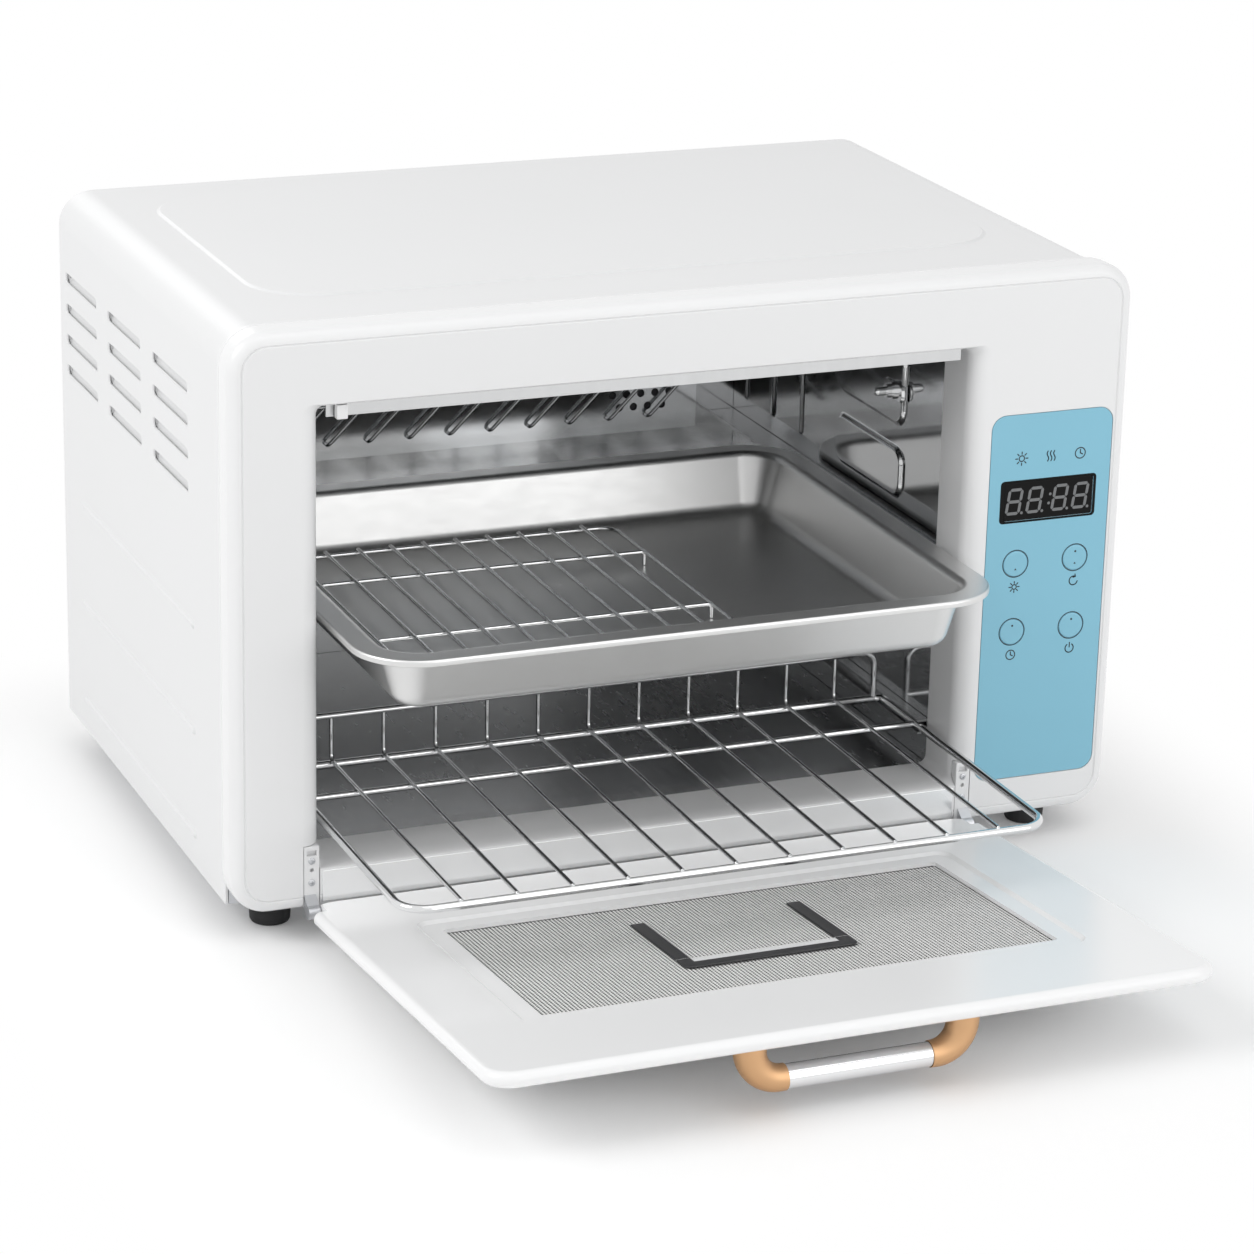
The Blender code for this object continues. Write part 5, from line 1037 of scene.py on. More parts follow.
def build_shell(coats):
    solid = prism(shell_outline(), "Y", SHELL_FRONT, BODY_DEPTH)
    cutters = []
    extras = [soft_pad("Z", EMBOSS, EMBOSS_CORNER, EMBOSS_SLOPE, SHELL_TOP, SHELL_TOP + EMBOSS_HEIGHT, 14)]
    for side, inward in ((SHELL_LEFT, 1), (SHELL_RIGHT, -1)):
        for row in range(LOUVRE_ROWS):
            top = LOUVRE_TOP - row * LOUVRE_ROW_PITCH
            for column in range(LOUVRE_COLUMNS):
                front = LOUVRE_FRONT + column * LOUVRE_COLUMN_PITCH
                cutters.append(louvre_cutter(side, inward, front, top))
                extras += louvre_vane(side, inward, front, top)
        for rib in range(3):
            middle = RIB_LOWEST + rib * RIB_PITCH
            edges = (RIB_FRONT, RIB_FRONT + RIB_LENGTH, middle - RIB_HALF, middle + RIB_HALF)
            extras.append(soft_pad("X", edges, RIB_HALF, RIB_SLOPE, side, side - inward * RIB_HEIGHT, 6, 5))
    solid = cut(solid, *cutters)
    solid = joined([solid] + extras)
    piece("cabinet_shell", solid, coats["enamel"], "cabinet", ("outer_shell",), shifted(), 30)
    recoat("rear_panel", coats["enamel"])
    recoat("base_pan", coats["zinc"])
    low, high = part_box("rear_panel")
    heads = []
    for x in (low.x + REAR_SCREW_MARGIN, 0.0, high.x - REAR_SCREW_MARGIN):
        for z in (low.z + REAR_SCREW_MARGIN, high.z - REAR_SCREW_MARGIN):
            heads.append(screw("Y", x, z, high.y, 1, 0.0028))
    piece("rear_screws", joined(heads), coats["zinc"], "cabinet")


def build_feet(coats):
    for name in ("foot_front_left", "foot_front_right", "foot_rear_left", "foot_rear_right"):
        low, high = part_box(name)
        x = (low.x + high.x) / 2
        y = (low.y + high.y) / 2
        top = BASE_Z - GAP
        stations = [
            (0.0, 0.0060), (0.0, 0.0072), (0.0004, 0.0080), (0.0014, 0.0085),
            (0.0060, 0.0088), (0.0064, 0.0086), (0.0068, 0.0089), (0.0120, 0.0093),
            (0.0131, 0.0095), (top, 0.0094), (top, 0.003), (high.z - 0.0015, 0.003), (high.z, 0.0015),
        ]
        pad = turned("Z", x, y, stations, 40)
        piece(name + "_rubber", pad, coats["rubber"], "cabinet", (name,), None, 40)


# Chamber


def vent_places():
    rise = VENT_PITCH * math.sin(math.radians(60))
    places = []
    for row in (-1, 0, 1):
        count = 5 - abs(row)
        for i in range(count):
            along = (i - (count - 1) / 2) * VENT_PITCH
            places.append((VENT_CENTRE[0] + along, VENT_CENTRE[1] + row * rise))
    return places


def side_liner(name, face, outward, coats):
    """A pressed side wall: two pads and three upright beads stand into the chamber."""
    back = CHAMBER_BACK - GAP
    low = CHAMBER_FLOOR - LINER_SHEET
    high = CHAMBER_TOP + LINER_SHEET
    x0, x1 = sorted((face, face + outward * LINER_SHEET))
    outline = rounded(CHAMBER_FRONT, back, low, high, 0.0008, 3)
    parts = [prism(outline, "X", x0, x1)]
    for bottom, height in PAD_PLACES:
        edges = (PAD_FRONT, PAD_FRONT + PAD_DEPTH, bottom, bottom + height)
        parts.append(soft_pad("X", edges, PAD_CORNER, PAD_SLOPE, face, face - outward * PAD_RISE, 8))
    for i in range(3):
        middle = back - 0.015 - i * BEAD_PITCH
        edges = (middle - BEAD_HALF, middle + BEAD_HALF, PAD_PLACES[0][0], PAD_PLACES[0][0] + BEAD_LENGTH)
        parts.append(soft_pad("X", edges, BEAD_HALF, BEAD_SLOPE, face, face - outward * BEAD_RISE, 6, 5))
    piece(name + "_sheet", joined(parts), coats["liner"], "cabinet", (name,), shifted(), 40)


def build_chamber(coats):
    side_liner("liner_left", CHAMBER_LEFT, -1, coats)
    side_liner("liner_right", CHAMBER_RIGHT, 1, coats)
    rear = CHAMBER_BACK + LINER_SHEET
    wall = block(
        CHAMBER_LEFT - LINER_SHEET, CHAMBER_RIGHT + LINER_SHEET, CHAMBER_BACK, rear,
        CHAMBER_FLOOR - LINER_SHEET, CHAMBER_TOP + LINER_SHEET,
    )
    holes = [
        rod("Y", x, z, VENT_RADIUS, CHAMBER_BACK - OVERRUN, rear + OVERRUN, 20)
        for x, z in vent_places()
    ]
    wall = cut(wall, *holes)
    piece("liner_back_sheet", wall, coats["liner"], "cabinet", ("liner_back",), shifted())
    recoat("liner_floor", coats["floor_steel"])
    recoat("liner_ceiling", coats["floor_steel"])


def build_rails(coats):
    for name in ("rack_guide_left", "rack_guide_right", "tray_rail_left", "tray_rail_right", "opening_lip"):
        recoat(name, coats["rail_steel"])
    side = HINGE_SIDE + HINGE_BLOCK[0] + 0.0012
    plate = soft_block(DOOR_LEFT + side, DOOR_RIGHT - side, -GAP, GAP, SILL[0], SILL[1], 0.0002)
    piece("sill_plate", plate, coats["sill"], "cabinet", place=shifted())
    recoat("door_sensor", coats["moulding"])


# Lamp unit


def build_lamp(coats):
    ends = LAMP_HALF - 0.009
    tube = [
        (-ends - 0.001, 0.0068), (-ends + 0.004, 0.0071),
        (ends - 0.004, 0.0071), (ends + 0.001, 0.0068),
    ]
    glass = turned("X", LAMP_Y, LAMP_Z, [(CENTRE_X + depth, radius) for depth, radius in tube], 40)
    piece("lamp_tube", glass, coats["tube"], "cabinet", ("uv_lamp",), shifted())
    caps = []
    for end in (-1, 1):
        profile = [
            (ends - 0.0002, 0.0072), (ends, 0.00765), (ends + 0.0008, 0.00775), (LAMP_HALF - 0.0008, 0.00775),
            (LAMP_HALF, 0.0071), (LAMP_HALF, 0.003),
        ]
        stations = [(CENTRE_X + end * depth, radius) for depth, radius in profile]
        caps.append(turned("X", LAMP_Y, LAMP_Z, stations, 40))
        for side in (-1, 1):
            x0, x1 = sorted((CENTRE_X + end * (LAMP_HALF - 0.001), CENTRE_X + end * (LAMP_HALF + 0.006)))
            caps.append(rod("X", LAMP_Y, LAMP_Z + side * 0.0025, 0.0012, x0, x1, 16))
    piece("lamp_caps", joined(caps), coats["zinc"], "cabinet", place=shifted())
    recoat("lamp_holder_left", coats["moulding"])
    recoat("lamp_holder_right", coats["moulding"])
    build_reflector(coats)
    build_guard(coats)
    build_probe(coats)


def build_reflector(coats):
    back = CHAMBER_BACK - GAP
    top = CHAMBER_TOP - GAP
    low = BASE_Z + 0.112
    sheet = REFLECTOR_SHEET
    radius = REFLECTOR_BEND
    centre = (back - radius, top - radius)
    outer = [(back, low)] + arc(centre, radius, 0, 90, 10) + [(back - REFLECTOR_REACH, top)]
    inner = [(back - sheet, low)] + arc(centre, radius - sheet, 0, 90, 10)
    inner += [(back - REFLECTOR_REACH, top - sheet)]
    solid = prism(outer + inner[::-1], "X", CHAMBER_LEFT + REFLECTOR_MARGIN, CHAMBER_RIGHT - REFLECTOR_MARGIN)
    holes = [
        rod("Y", x, z, VENT_RADIUS, back - sheet - OVERRUN, back + OVERRUN, 20)
        for x, z in vent_places()
    ]
    solid = cut(solid, *holes)
    piece(
        "reflector_sheet", solid, coats["reflector"], "cabinet",
        ("lamp_reflector",), shifted(),
    )


def build_guard(coats):
    thin = GUARD_WIRE
    face = CHAMBER_BACK - REFLECTOR_SHEET - 2 * GAP
    front = face - 0.005
    low = BASE_Z + 0.120
    top = low + 0.019
    right = CHAMBER_RIGHT - 0.025
    first = right - GUARD_COUNT * GUARD_PITCH
    rail = ((first, face, top), (first, front, top), (right, front, top), (right, face, top))
    parts = [sweep(bend(rail, 0.002, 6), thin)]
    for i in range(GUARD_COUNT):
        across = right - 0.002 - i * GUARD_PITCH
        foot = across - 0.019
        behind = front + 2 * thin - 0.0004
        path = bend(((across + thin, behind, top + thin), (foot, behind, low), (foot, face, low)), 0.002, 6)
        parts.append(wire(path, thin))
    # The guard wires carry the darkened steel: a painted dark reflection of the chamber.
    piece(
        "guard_wires", joined(parts), coats["guard"], "cabinet",
        ("wire_guard",), shifted(), 50,
    )


def build_probe(coats):
    y = CHAMBER_FRONT + 0.045
    z = CHAMBER_TOP - 0.038
    wall = CHAMBER_RIGHT - 0.0018
    tip = wall - 0.010
    stations = [
        (tip, 0.0006), (tip + 0.0003, 0.0013), (tip + 0.001, 0.0018), (tip + 0.0018, 0.002),
        (wall - 0.0046, 0.002), (wall - 0.0046, 0.0030), (wall - 0.0024, 0.0032), (wall - 0.0024, 0.0040),
        (wall - 0.0006, 0.0040), (wall, 0.0038), (wall, 0.002), (wall + 0.008, 0.002),
    ]
    rod_part = turned("X", y, z, stations, 28)
    edges = (y - 0.0095, y + 0.0095, z - 0.0042, z + 0.0042)
    clip = soft_pad("X", edges, 0.0035, 0.0006, wall, wall - 0.001, 6, 3)
    piece(
        "probe_and_clip", joined([rod_part, clip]), coats["chrome"], "cabinet", ("temperature_probe",),
        shifted(), 40,
    )


# Control panel


def build_control_panel(coats, sizes):
    rings = []
    for depth, inset in ((PANEL_SHEET, 0.0), (0.00015, 0.0), (0.00004, 0.00006), (0.0, 0.0002)):
        edges = (PANEL[0] + inset, PANEL[1] - inset, PANEL[2] + inset, PANEL[3] - inset)
        outline = rounded(*edges, PANEL_CORNER - inset, 14)
        rings.append([point("Y", a, b, depth) for a, b in outline])
    sheet = loft(rings)
    window = rounded(DISPLAY[0], DISPLAY[1], DISPLAY[2], DISPLAY[3], 0.0012, 6)
    tools = [prism(window, "Y", -OVERRUN, PANEL_SHEET + OVERRUN)]
    for _, _, x, z in KEYS:
        tools.append(rod("Y", x, z, KEY_RADIUS + 0.00018, -OVERRUN, PANEL_SHEET + OVERRUN, 56))
    sheet = cut(sheet, *tools)
    piece("control_film", sheet, coats["film"], "cabinet", ("control_membrane",), shifted())
    rings = []
    for depth, inset in ((GAP + 0.002, 0.0), (GAP + 0.0002, 0.0), (GAP + 0.00005, 0.00012), (GAP, 0.0003)):
        outline = rounded(
            DISPLAY[0] + GAP / 2 + inset, DISPLAY[1] - GAP / 2 - inset, DISPLAY[2] + GAP / 2 + inset,
            DISPLAY[3] - GAP / 2 - inset, 0.0011, 6,
        )
        rings.append([point("Y", a, b, depth) for a, b in outline])
    piece(
        "display_lens", loft(rings), coats["lens"], "cabinet", ("display_window",), shifted(),
    )
    around = rounded(PANEL_X - 0.0233, PANEL_X + 0.0225, DISPLAY[2] - 0.0009, DISPLAY[3] + 0.0009, 0.0018, 8)
    surround = cut(prism(around, "Y", -PRINT_THICKNESS, 0.0), prism(window, "Y", -OVERRUN, OVERRUN))
    piece("display_surround", surround, coats["lens"], "cabinet", place=shifted())
    digits = []
    front = GAP
    height = sizes.digit_height
    width = height * 0.56
    thick = height * 0.125
    middle = (DISPLAY[2] + DISPLAY[3]) / 2 - height / 2
    for i in range(4):
        x = PANEL_X - 2 * DIGIT_PITCH + i * DIGIT_PITCH + (0.0012 if i > 1 else -0.0010) + 0.0006
        digits += digit_parts(x, middle, width, height, thick, front, PRINT_THICKNESS)
    for share in (0.3, 0.68):
        x = PANEL_X + DIGIT_LEAN * height * share - 0.0002
        digits.append(rod("Y", x, middle + height * share, thick * 0.5, front - PRINT_THICKNESS, front, 12))
    piece("display_digits", joined(digits), coats["segment"], "cabinet", place=shifted())
    marks = []
    line = sizes.mark_line
    above = DISPLAY[3] + 0.0105
    marks += lamp_mark(PANEL_X - 0.0140, above, 0.0030, line, 0.0, PRINT_THICKNESS)
    marks += warm_air_mark(PANEL_X, above, 0.0026, line, 0.0, PRINT_THICKNESS)
    marks += clock_mark(PANEL_X + 0.0140, above, 0.0028, line, 0.0, PRINT_THICKNESS)
    drop = KEY_RADIUS + 0.0048
    for (_, _, x, z), drawn in zip(KEYS, (lamp_mark, cycle_mark, clock_mark, power_mark)):
        marks += drawn(x, z - drop, 0.0025, line, 0.0, PRINT_THICKNESS)
        marks.append(ring_band(x, z, KEY_RADIUS + 0.0004, line * 0.7, 0.0, PRINT_THICKNESS, 56))
    piece("panel_marks", joined(marks), coats["ink"], "cabinet", place=shifted())
    recoat("display_module", coats["black"])
    recoat("control_board", coats["board"])


def build_keys(coats, sizes):
    for name, body, x, z in KEYS:
        stations = [(0.0009, KEY_RADIUS), (0.00010, KEY_RADIUS)]
        for step in range(1, 6):
            angle = math.radians(90 * step / 5)
            radius = KEY_RADIUS - 0.0009 * (1 - math.cos(angle))
            stations.append((0.00010 - (KEY_PROUD + 0.0001) * math.sin(angle) * 0.95, radius))
        stations.append((-KEY_PROUD, KEY_RADIUS * 0.55))
        stations.append((-KEY_PROUD, KEY_RADIUS * 0.20))
        cap = [turned("Y", x, z, stations, 56)]
        cap.append(rod("Y", x, z, 0.0022, 0.0008, 0.0094, 24))
        piece(name + "_cap", joined(cap), coats["cap"], body, (name,), shifted(), 50)
        front = -KEY_PROUD + 0.00002
        prints = []
        if name != "key_lamp":
            prints.append(
                rod("Y", x, z + KEY_RADIUS * 0.50, sizes.mark_line, front - PRINT_THICKNESS, front, 12)
            )
        if name in ("key_lamp", "key_auto"):
            tip = z - KEY_RADIUS * 0.34
            corners = ((x - 0.0006, tip - 0.0009), (x + 0.0006, tip - 0.0009), (x, tip))
            prints.append(prism(corners, "Y", front - PRINT_THICKNESS, front))
        piece(name + "_print", joined(prints), coats["ink"], body, place=shifted())


# Hinges


def build_hinges(coats):
    low = HINGE_LOW
    high = low + HINGE_BLOCK[1]
    arm_low = low + 0.0055
    profile = [(GAP, arm_low)]
    profile += [
        (DOOR_AXIS_Y + a, DOOR_AXIS_Z + b) for a, b in arc((0, 0), KNUCKLE_RADIUS, 90, 270, 20)
    ]
    profile += [(-GAP, DOOR_AXIS_Z - KNUCKLE_RADIUS), (-GAP, low), (GAP, low)]
    sides = (("left", DOOR_LEFT + HINGE_SIDE, 1), ("right", DOOR_RIGHT - HINGE_SIDE, -1))
    for name, outer, inward in sides:
        x0, x1 = sorted((outer, outer + inward * HINGE_BLOCK[0]))
        plate = soft_block(x0, x1, 0.0, GAP + HINGE_BLOCK[2], low, high, 0.0004)
        a0, a1 = sorted((outer, outer + inward * KNUCKLE_WIDTH))
        arm = prism(profile, "X", a0, a1)
        b0, b1 = sorted((outer + inward * KNUCKLE_WIDTH / 4, outer + inward * (KNUCKLE_WIDTH + OVERRUN)))
        arm = cut(arm, rod("X", DOOR_AXIS_Y, DOOR_AXIS_Z, PIN_RADIUS + GAP, b0, b1, 32))
        slot = block(x0 + 0.0012, x1 - 0.0012, -OVERRUN, 0.0018, high - 0.0042, high - 0.0018)
        plate = cut(plate, slot, rod("Y", (x0 + x1) / 2, low + 0.0160, 0.0009, -OVERRUN, 0.0018, 20))
        piece(
            f"hinge_block_{name}", plate, coats["moulding"], "cabinet",
            (f"hinge_bracket_{name}",), shifted(), 30,
        )
        piece(
            f"hinge_arm_{name}", arm, coats["zinc"], "cabinet",
            place=shifted(), angle=30,
        )
        middle = (x0 + x1) / 2
        heads = [screw("Y", middle, up, 0.0, -1, 0.0015) for up in (low + 0.0105, low + 0.0200)]
        piece(
            f"hinge_screws_{name}", joined(heads), coats["zinc"], "cabinet",
            place=shifted(),
        )
        low_pin, high_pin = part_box(f"hinge_pin_{name}")
        edge = 0.0003
        stations = [
            (low_pin.x, PIN_RADIUS - edge), (low_pin.x + edge, PIN_RADIUS),
            (high_pin.x - edge, PIN_RADIUS), (high_pin.x, PIN_RADIUS - edge),
        ]
        pin = turned("X", DOOR_AXIS_Y, DOOR_AXIS_Z, stations, 32)
        piece(
            f"hinge_rod_{name}", pin, coats["zinc"], "cabinet",
            (f"hinge_pin_{name}",), shifted(),
        )


# Door


def window_edges(margin):
    """The window's sides, bottom and top, widened by a margin."""
    half = WINDOW_HALF + margin
    return CENTRE_X - half, CENTRE_X + half, WINDOW_LOW - margin, WINDOW_HIGH + margin


def build_door(coats):
    rings = []
    steps = 14
    for step in range(steps + 1):
        angle = math.radians(-90 + 180 * step / steps)
        inset = DOOR_HALF * (1 - math.cos(angle))
        edges = (DOOR_LEFT + inset, DOOR_RIGHT - inset, inset - DOOR_HALF, DOOR_LENGTH - inset)
        outline = rounded(*edges, DOOR_CORNER - inset, 14)
        rings.append([point("Y", a, b, DOOR_HALF * math.sin(angle)) for a, b in outline])
    solid = loft(rings)
    slope = 0.0016
    face = DOOR_HALF
    recess = []
    for depth, grow in ((OVERRUN, slope * 0.2), (0.0, slope * 0.15), (-0.0002, 0.0), (-RECESS_DEPTH, -slope)):
        outline = rounded(*window_edges(RECESS_MARGIN + grow), 0.0068 + grow, 8)
        recess.append([point("Y", a, b, face + depth) for a, b in outline])
    solid = cut(solid, loft(recess))
    opening = rounded(*window_edges(0), 0.002, 6)
    solid = cut(solid, prism(opening, "Y", -DOOR_HALF - OVERRUN, DOOR_HALF + OVERRUN))
    rebate = rounded(*window_edges(REBATE_MARGIN), 0.002, 6)
    solid = cut(solid, prism(rebate, "Y", -DOOR_HALF - OVERRUN, REBATE_DEPTH - DOOR_HALF))
    tools = []
    bores = []
    for outer, inward in ((DOOR_LEFT + HINGE_SIDE, 1), (DOOR_RIGHT - HINGE_SIDE, -1)):
        x0, x1 = sorted((outer - OVERRUN * inward, outer + (KNUCKLE_WIDTH + HINGE_SIDE) * inward))
        tools.append(block(x0, x1, -DOOR_HALF - OVERRUN, DOOR_HALF + OVERRUN, -DOOR_HALF - OVERRUN, 0.010))
        b0, b1 = sorted((outer, outer + 0.0135 * inward))
        bores.append(rod("X", 0, 0, PIN_RADIUS + GAP, b0, b1, 32))
    solid = cut(solid, *tools)
    solid = cut(solid, *bores)
    piece("door_frame", solid, coats["door"], "door", ("door_panel",), door_place(), 30)


def build_window(coats, sizes):
    recoat("door_glass", coats["glass"])
    x0, x1, z0, z1 = window_edges(REBATE_MARGIN - 2 * GAP)
    seat = REBATE_DEPTH - DOOR_HALF - GAP
    radius = sizes.mesh_wire / 2
    thin = radius * 0.46
    pitch = sizes.mesh_pitch
    upper = seat - radius - 0.00001
    lower = upper - radius * 0.6
    parts = []
    count = int((x1 - x0 - 0.001) / pitch)
    first = (x0 + x1 - count * pitch) / 2
    for i in range(count + 1):
        parts.append(rod("Z", first + i * pitch, upper, radius, z0, z1, 8))
    count = int((z1 - z0 - 0.001) / pitch)
    first = (z0 + z1 - count * pitch) / 2
    for i in range(count + 1):
        parts.append(rod("X", lower, first + i * pitch, thin, x0, x1, 6))
    piece("window_mesh", joined(parts), coats["mesh"], "door", ("door_mesh",), door_place(), 80)
    build_band(coats)


def build_band(coats):
    """The U of charcoal strips on the mesh: two legs and a foot, with a hairline between them."""
    face = REBATE_DEPTH - DOOR_HALF
    thick = 0.0007
    half = 0.0375
    strip = 0.006
    low = WINDOW_LOW + 0.022
    high = low + 0.058
    turn = 0.0032
    parts = []
    break_at = high - strip - 0.0050
    for side in (-1, 1):
        outer = CENTRE_X + side * half
        inner = outer - side * strip
        leg = [(outer, low), (outer, break_at), (inner, break_at), (inner, low)]
        parts.append(prism(leg, "Y", face, face + thick))
    line = 0.0005
    foot = [
        (CENTRE_X - half, break_at + line), (CENTRE_X - half + strip, break_at + line),
        (CENTRE_X - half + strip, high - strip), (CENTRE_X + half - strip, high - strip),
        (CENTRE_X + half - strip, break_at + line), (CENTRE_X + half, break_at + line),
    ]
    foot += arc((CENTRE_X + half - turn, high - turn), turn, 0, 90, 6)
    foot += arc((CENTRE_X - half + turn, high - turn), turn, 90, 180, 6)
    parts.append(prism(foot, "Y", face, face + thick))
    strips = piece(
        "window_strips", joined(parts), coats["band"], "door",
        ("window_band",), door_place(),
    )
    soften(strips, 0.00018)
    inside = half - strip
    pale = [block(
        CENTRE_X - inside, CENTRE_X + inside, face, face + thick * 0.6,
        high - strip - 0.0046, high - strip - 0.0001,
    )]
    for side in (-1, 1):
        x0, x1 = sorted((CENTRE_X + side * half, CENTRE_X + side * inside))
        pale.append(block(x0, x1, face, face + thick * 0.8, break_at + 0.00005, break_at + line - 0.00005))
    lining = piece(
        "window_lining", joined(pale), coats["moulding"], "door", place=door_place(),
    )
    soften(lining, 0.0001)


def soften(made, width, segments=2):
    """Rounds the sharp edges of a piece, below its normals."""
    change = made.modifiers.new("soft_edges", "BEVEL")
    change.width = width
    change.segments = segments
    change.limit_method = "ANGLE"
    change.angle_limit = math.radians(40)
    made.modifiers.move(len(made.modifiers) - 1, 0)


# Handle


def build_handle(coats):
    face = -DOOR_HALF - GAP
    place = door_place()
    for name, side in (("left", -1), ("right", 1)):
        leg = CENTRE_X + side * LEG_HALF
        end = leg - side * ELBOW_REACH
        corners = ((leg, face, HANDLE_Z), (leg, HANDLE_Y, HANDLE_Z), (end, HANDLE_Y, HANDLE_Z))
        bent = bend(corners, ELBOW_BEND, 16)
        foot = Vector((0, -1, 0))
        out = Vector((-side, 0, 0))
        start = bent[0]
        finish = bent[-1]
        path = [start, start + foot * 0.0003, start + foot * 0.0009] + bent[1:-1]
        path += [finish - out * 0.0012, finish - out * 0.0004, finish]
        count = len(bent) - 2
        radii = [TUBE_RADIUS - 0.0002, TUBE_RADIUS, TUBE_RADIUS]
        radii += [TUBE_RADIUS - ELBOW_TAPER * (i + 1) / (count + 1) for i in range(count)]
        slim = TUBE_RADIUS - ELBOW_TAPER
        radii += [slim, slim, slim - 0.0003]
        elbow = sweep(path, TUBE_RADIUS, 40, radii=radii)
        x0, x1 = sorted((end - side * OVERRUN, end + side * BAR_SEAT))
        elbow = cut(elbow, rod("X", HANDLE_Y, HANDLE_Z, BAR_RADIUS + 0.00025, x0, x1, 40))
        piece(
            f"handle_leg_{name}", elbow, coats["gold"], "door",
            (f"handle_elbow_{name}",), place, 40,
        )
    reach = LEG_HALF - ELBOW_REACH + BAR_SEAT - GAP
    edge = 0.0004
    stations = [
        (CENTRE_X - reach, BAR_RADIUS - edge), (CENTRE_X - reach + edge, BAR_RADIUS),
        (CENTRE_X + reach - edge, BAR_RADIUS), (CENTRE_X + reach, BAR_RADIUS - edge),
    ]
    bar = turned("X", HANDLE_Y, HANDLE_Z, stations, 56)
    piece("handle_rod", bar, coats["bar"], "door", ("handle_bar",), place)


# Rack


def rack_wires():
    pitch = 2 * RACK_HALF / (RACK_WIRE_COUNT + 1)
    return [pitch * (i + 1) - RACK_HALF for i in range(RACK_WIRE_COUNT)]


def build_rack(coats):
    front = RACK_FRAME_WIRE
    back = RACK_DEPTH - RACK_FRAME_WIRE
    far = RACK_CROSS_Y
    near_half = ((-RACK_HALF, far, 0), (-RACK_HALF, front, 0), (RACK_HALF, front, 0), (RACK_HALF, far, 0))
    far_half = ((RACK_HALF, far, 0), (RACK_HALF, back, 0), (-RACK_HALF, back, 0), (-RACK_HALF, far, 0))
    loop = bend(near_half, RACK_NEAR_BEND, 10) + bend(far_half, RACK_FAR_BEND, 8)[1:-1]
    parts = [sweep(loop, RACK_FRAME_WIRE, 20, closed=True)]
    parts.append(wire([Vector((-RACK_HALF, far, 0)), Vector((RACK_HALF, far, 0))], RACK_CROSS_WIRE, 14))
    level = RACK_CROSS_WIRE + RACK_LONG_WIRE - 0.0005
    side = RACK_HALF - RACK_FAR_BEND
    crest = RACK_FENCE_TOP
    fence = RACK_FENCE_Y
    rail = ((-side, fence, 0.001), (-side, fence, crest), (side, fence, crest), (side, fence, 0.001))
    parts.append(sweep(bend(rail, 0.006, 10), RACK_CROSS_WIRE, 16))
    for across in rack_wires():
        corners = ((across, front, level), (across, fence, level), (across, fence, crest))
        parts.append(wire(bend(corners, 0.0035, 7), RACK_LONG_WIRE, 12))
    place = Matrix.Translation(RACK_PLACE)
    solids = ("wire_rack", "rack_fence")
    piece("rack_wires", joined(parts), coats["chrome"], "rack", solids, place, 50)


# Tray and insert


def tray_ring(inset, depth):
    corner = max(TRAY_CORNER - inset, TRAY_SHEET)
    outline = rounded(-TRAY_HALF + inset, TRAY_HALF - inset, inset, TRAY_DEPTH - inset, corner, 18)
    return [point("Z", a, b, depth) for a, b in outline]


def build_tray(coats):
    sheet = TRAY_SHEET
    floor = -TRAY_HEIGHT
    shoulder = 0.0035
    foot = TRAY_FLANGE + shoulder + 0.005
    turn = 0.006
    upper = [(0.0002, -TRAY_DROP), (0.0, -TRAY_DROP + 0.0002), (0.0, -sheet)]
    for angle in (22, 45, 67, 90):
        turned_by = math.radians(angle)
        upper.append((sheet * (1 - math.cos(turned_by)), -sheet * (1 - math.sin(turned_by))))
    upper += arc((TRAY_FLANGE, -shoulder), shoulder, 90, 15, 8)
    centre = (foot + turn, floor + sheet + turn)
    upper += arc(centre, turn, 195, 270, 8)
    lower = [(sheet, -TRAY_DROP), (sheet, -sheet)]
    lower += arc((TRAY_FLANGE, -shoulder), shoulder - sheet, 90, 15, 8)
    lower += arc(centre, turn + sheet, 195, 270, 8)
    rings = [tray_ring(inset, depth) for inset, depth in reversed(lower)]
    rings += [tray_ring(inset, depth) for inset, depth in upper]
    pan = loft(rings)
    piece("tray_pan", pan, coats["tray"], "tray", ("tray",), Matrix.Translation(TRAY_PLACE), 50)


def build_insert(coats):
    radius = INSERT_WIRE
    floor = -TRAY_HEIGHT + TRAY_SHEET
    level = floor + GAP + INSERT_RISE + radius
    left, right, front, back = INSERT
    loop = ((left, front, level), (right, front, level), (right, back, level), (left, back, level))
    parts = [sweep(bend(loop, 0.008, 8, closed=True), radius, 12, closed=True)]
    pitch = (right - left) / 10
    for i in range(9):
        across = left + pitch * (i + 1)
        start = Vector((across, front - radius, level + 2 * radius - 0.0004))
        end = Vector((across, back + radius, level + 2 * radius - 0.0004))
        parts.append(wire([start, end], radius, 12))
    for along in (front + INSERT_LEG_SETBACK, back - INSERT_LEG_SETBACK):
        foot = floor + GAP
        legs = ((left, along, foot), (left, along, level), (right, along, level), (right, along, foot))
        parts.append(sweep(bend(legs, 2 * radius, 5), radius, 12))
    place = Matrix.Translation(TRAY_PLACE)
    piece("insert_wires", joined(parts), coats["chrome"], "tray", ("tray_insert",), place, 50)


# Service bay


def build_service(coats):
    recoat("fan_housing", coats["black"])
    recoat("fan_rotor", coats["black"])
    recoat("power_board", coats["board"])
    recoat("lamp_ballast", coats["zinc"])
    # The heater behind the back wall's vents is made matt black so the vent holes show dark: painted shade.
    recoat("drying_heater", coats["black"])
    recoat("cable_gland", coats["black"])


# Stage


def add_lamp(name, place, aim, size, power):
    data = bpy.data.lights.new(name, "AREA")
    data.shape = "DISK"
    data.size = size
    data.energy = power
    made = bpy.data.objects.new(name, data)
    bpy.context.scene.collection.objects.link(made)
    made.location = place
    made.rotation_euler = (Vector(aim) - Vector(place)).to_track_quat("-Z", "Y").to_euler()
    return made


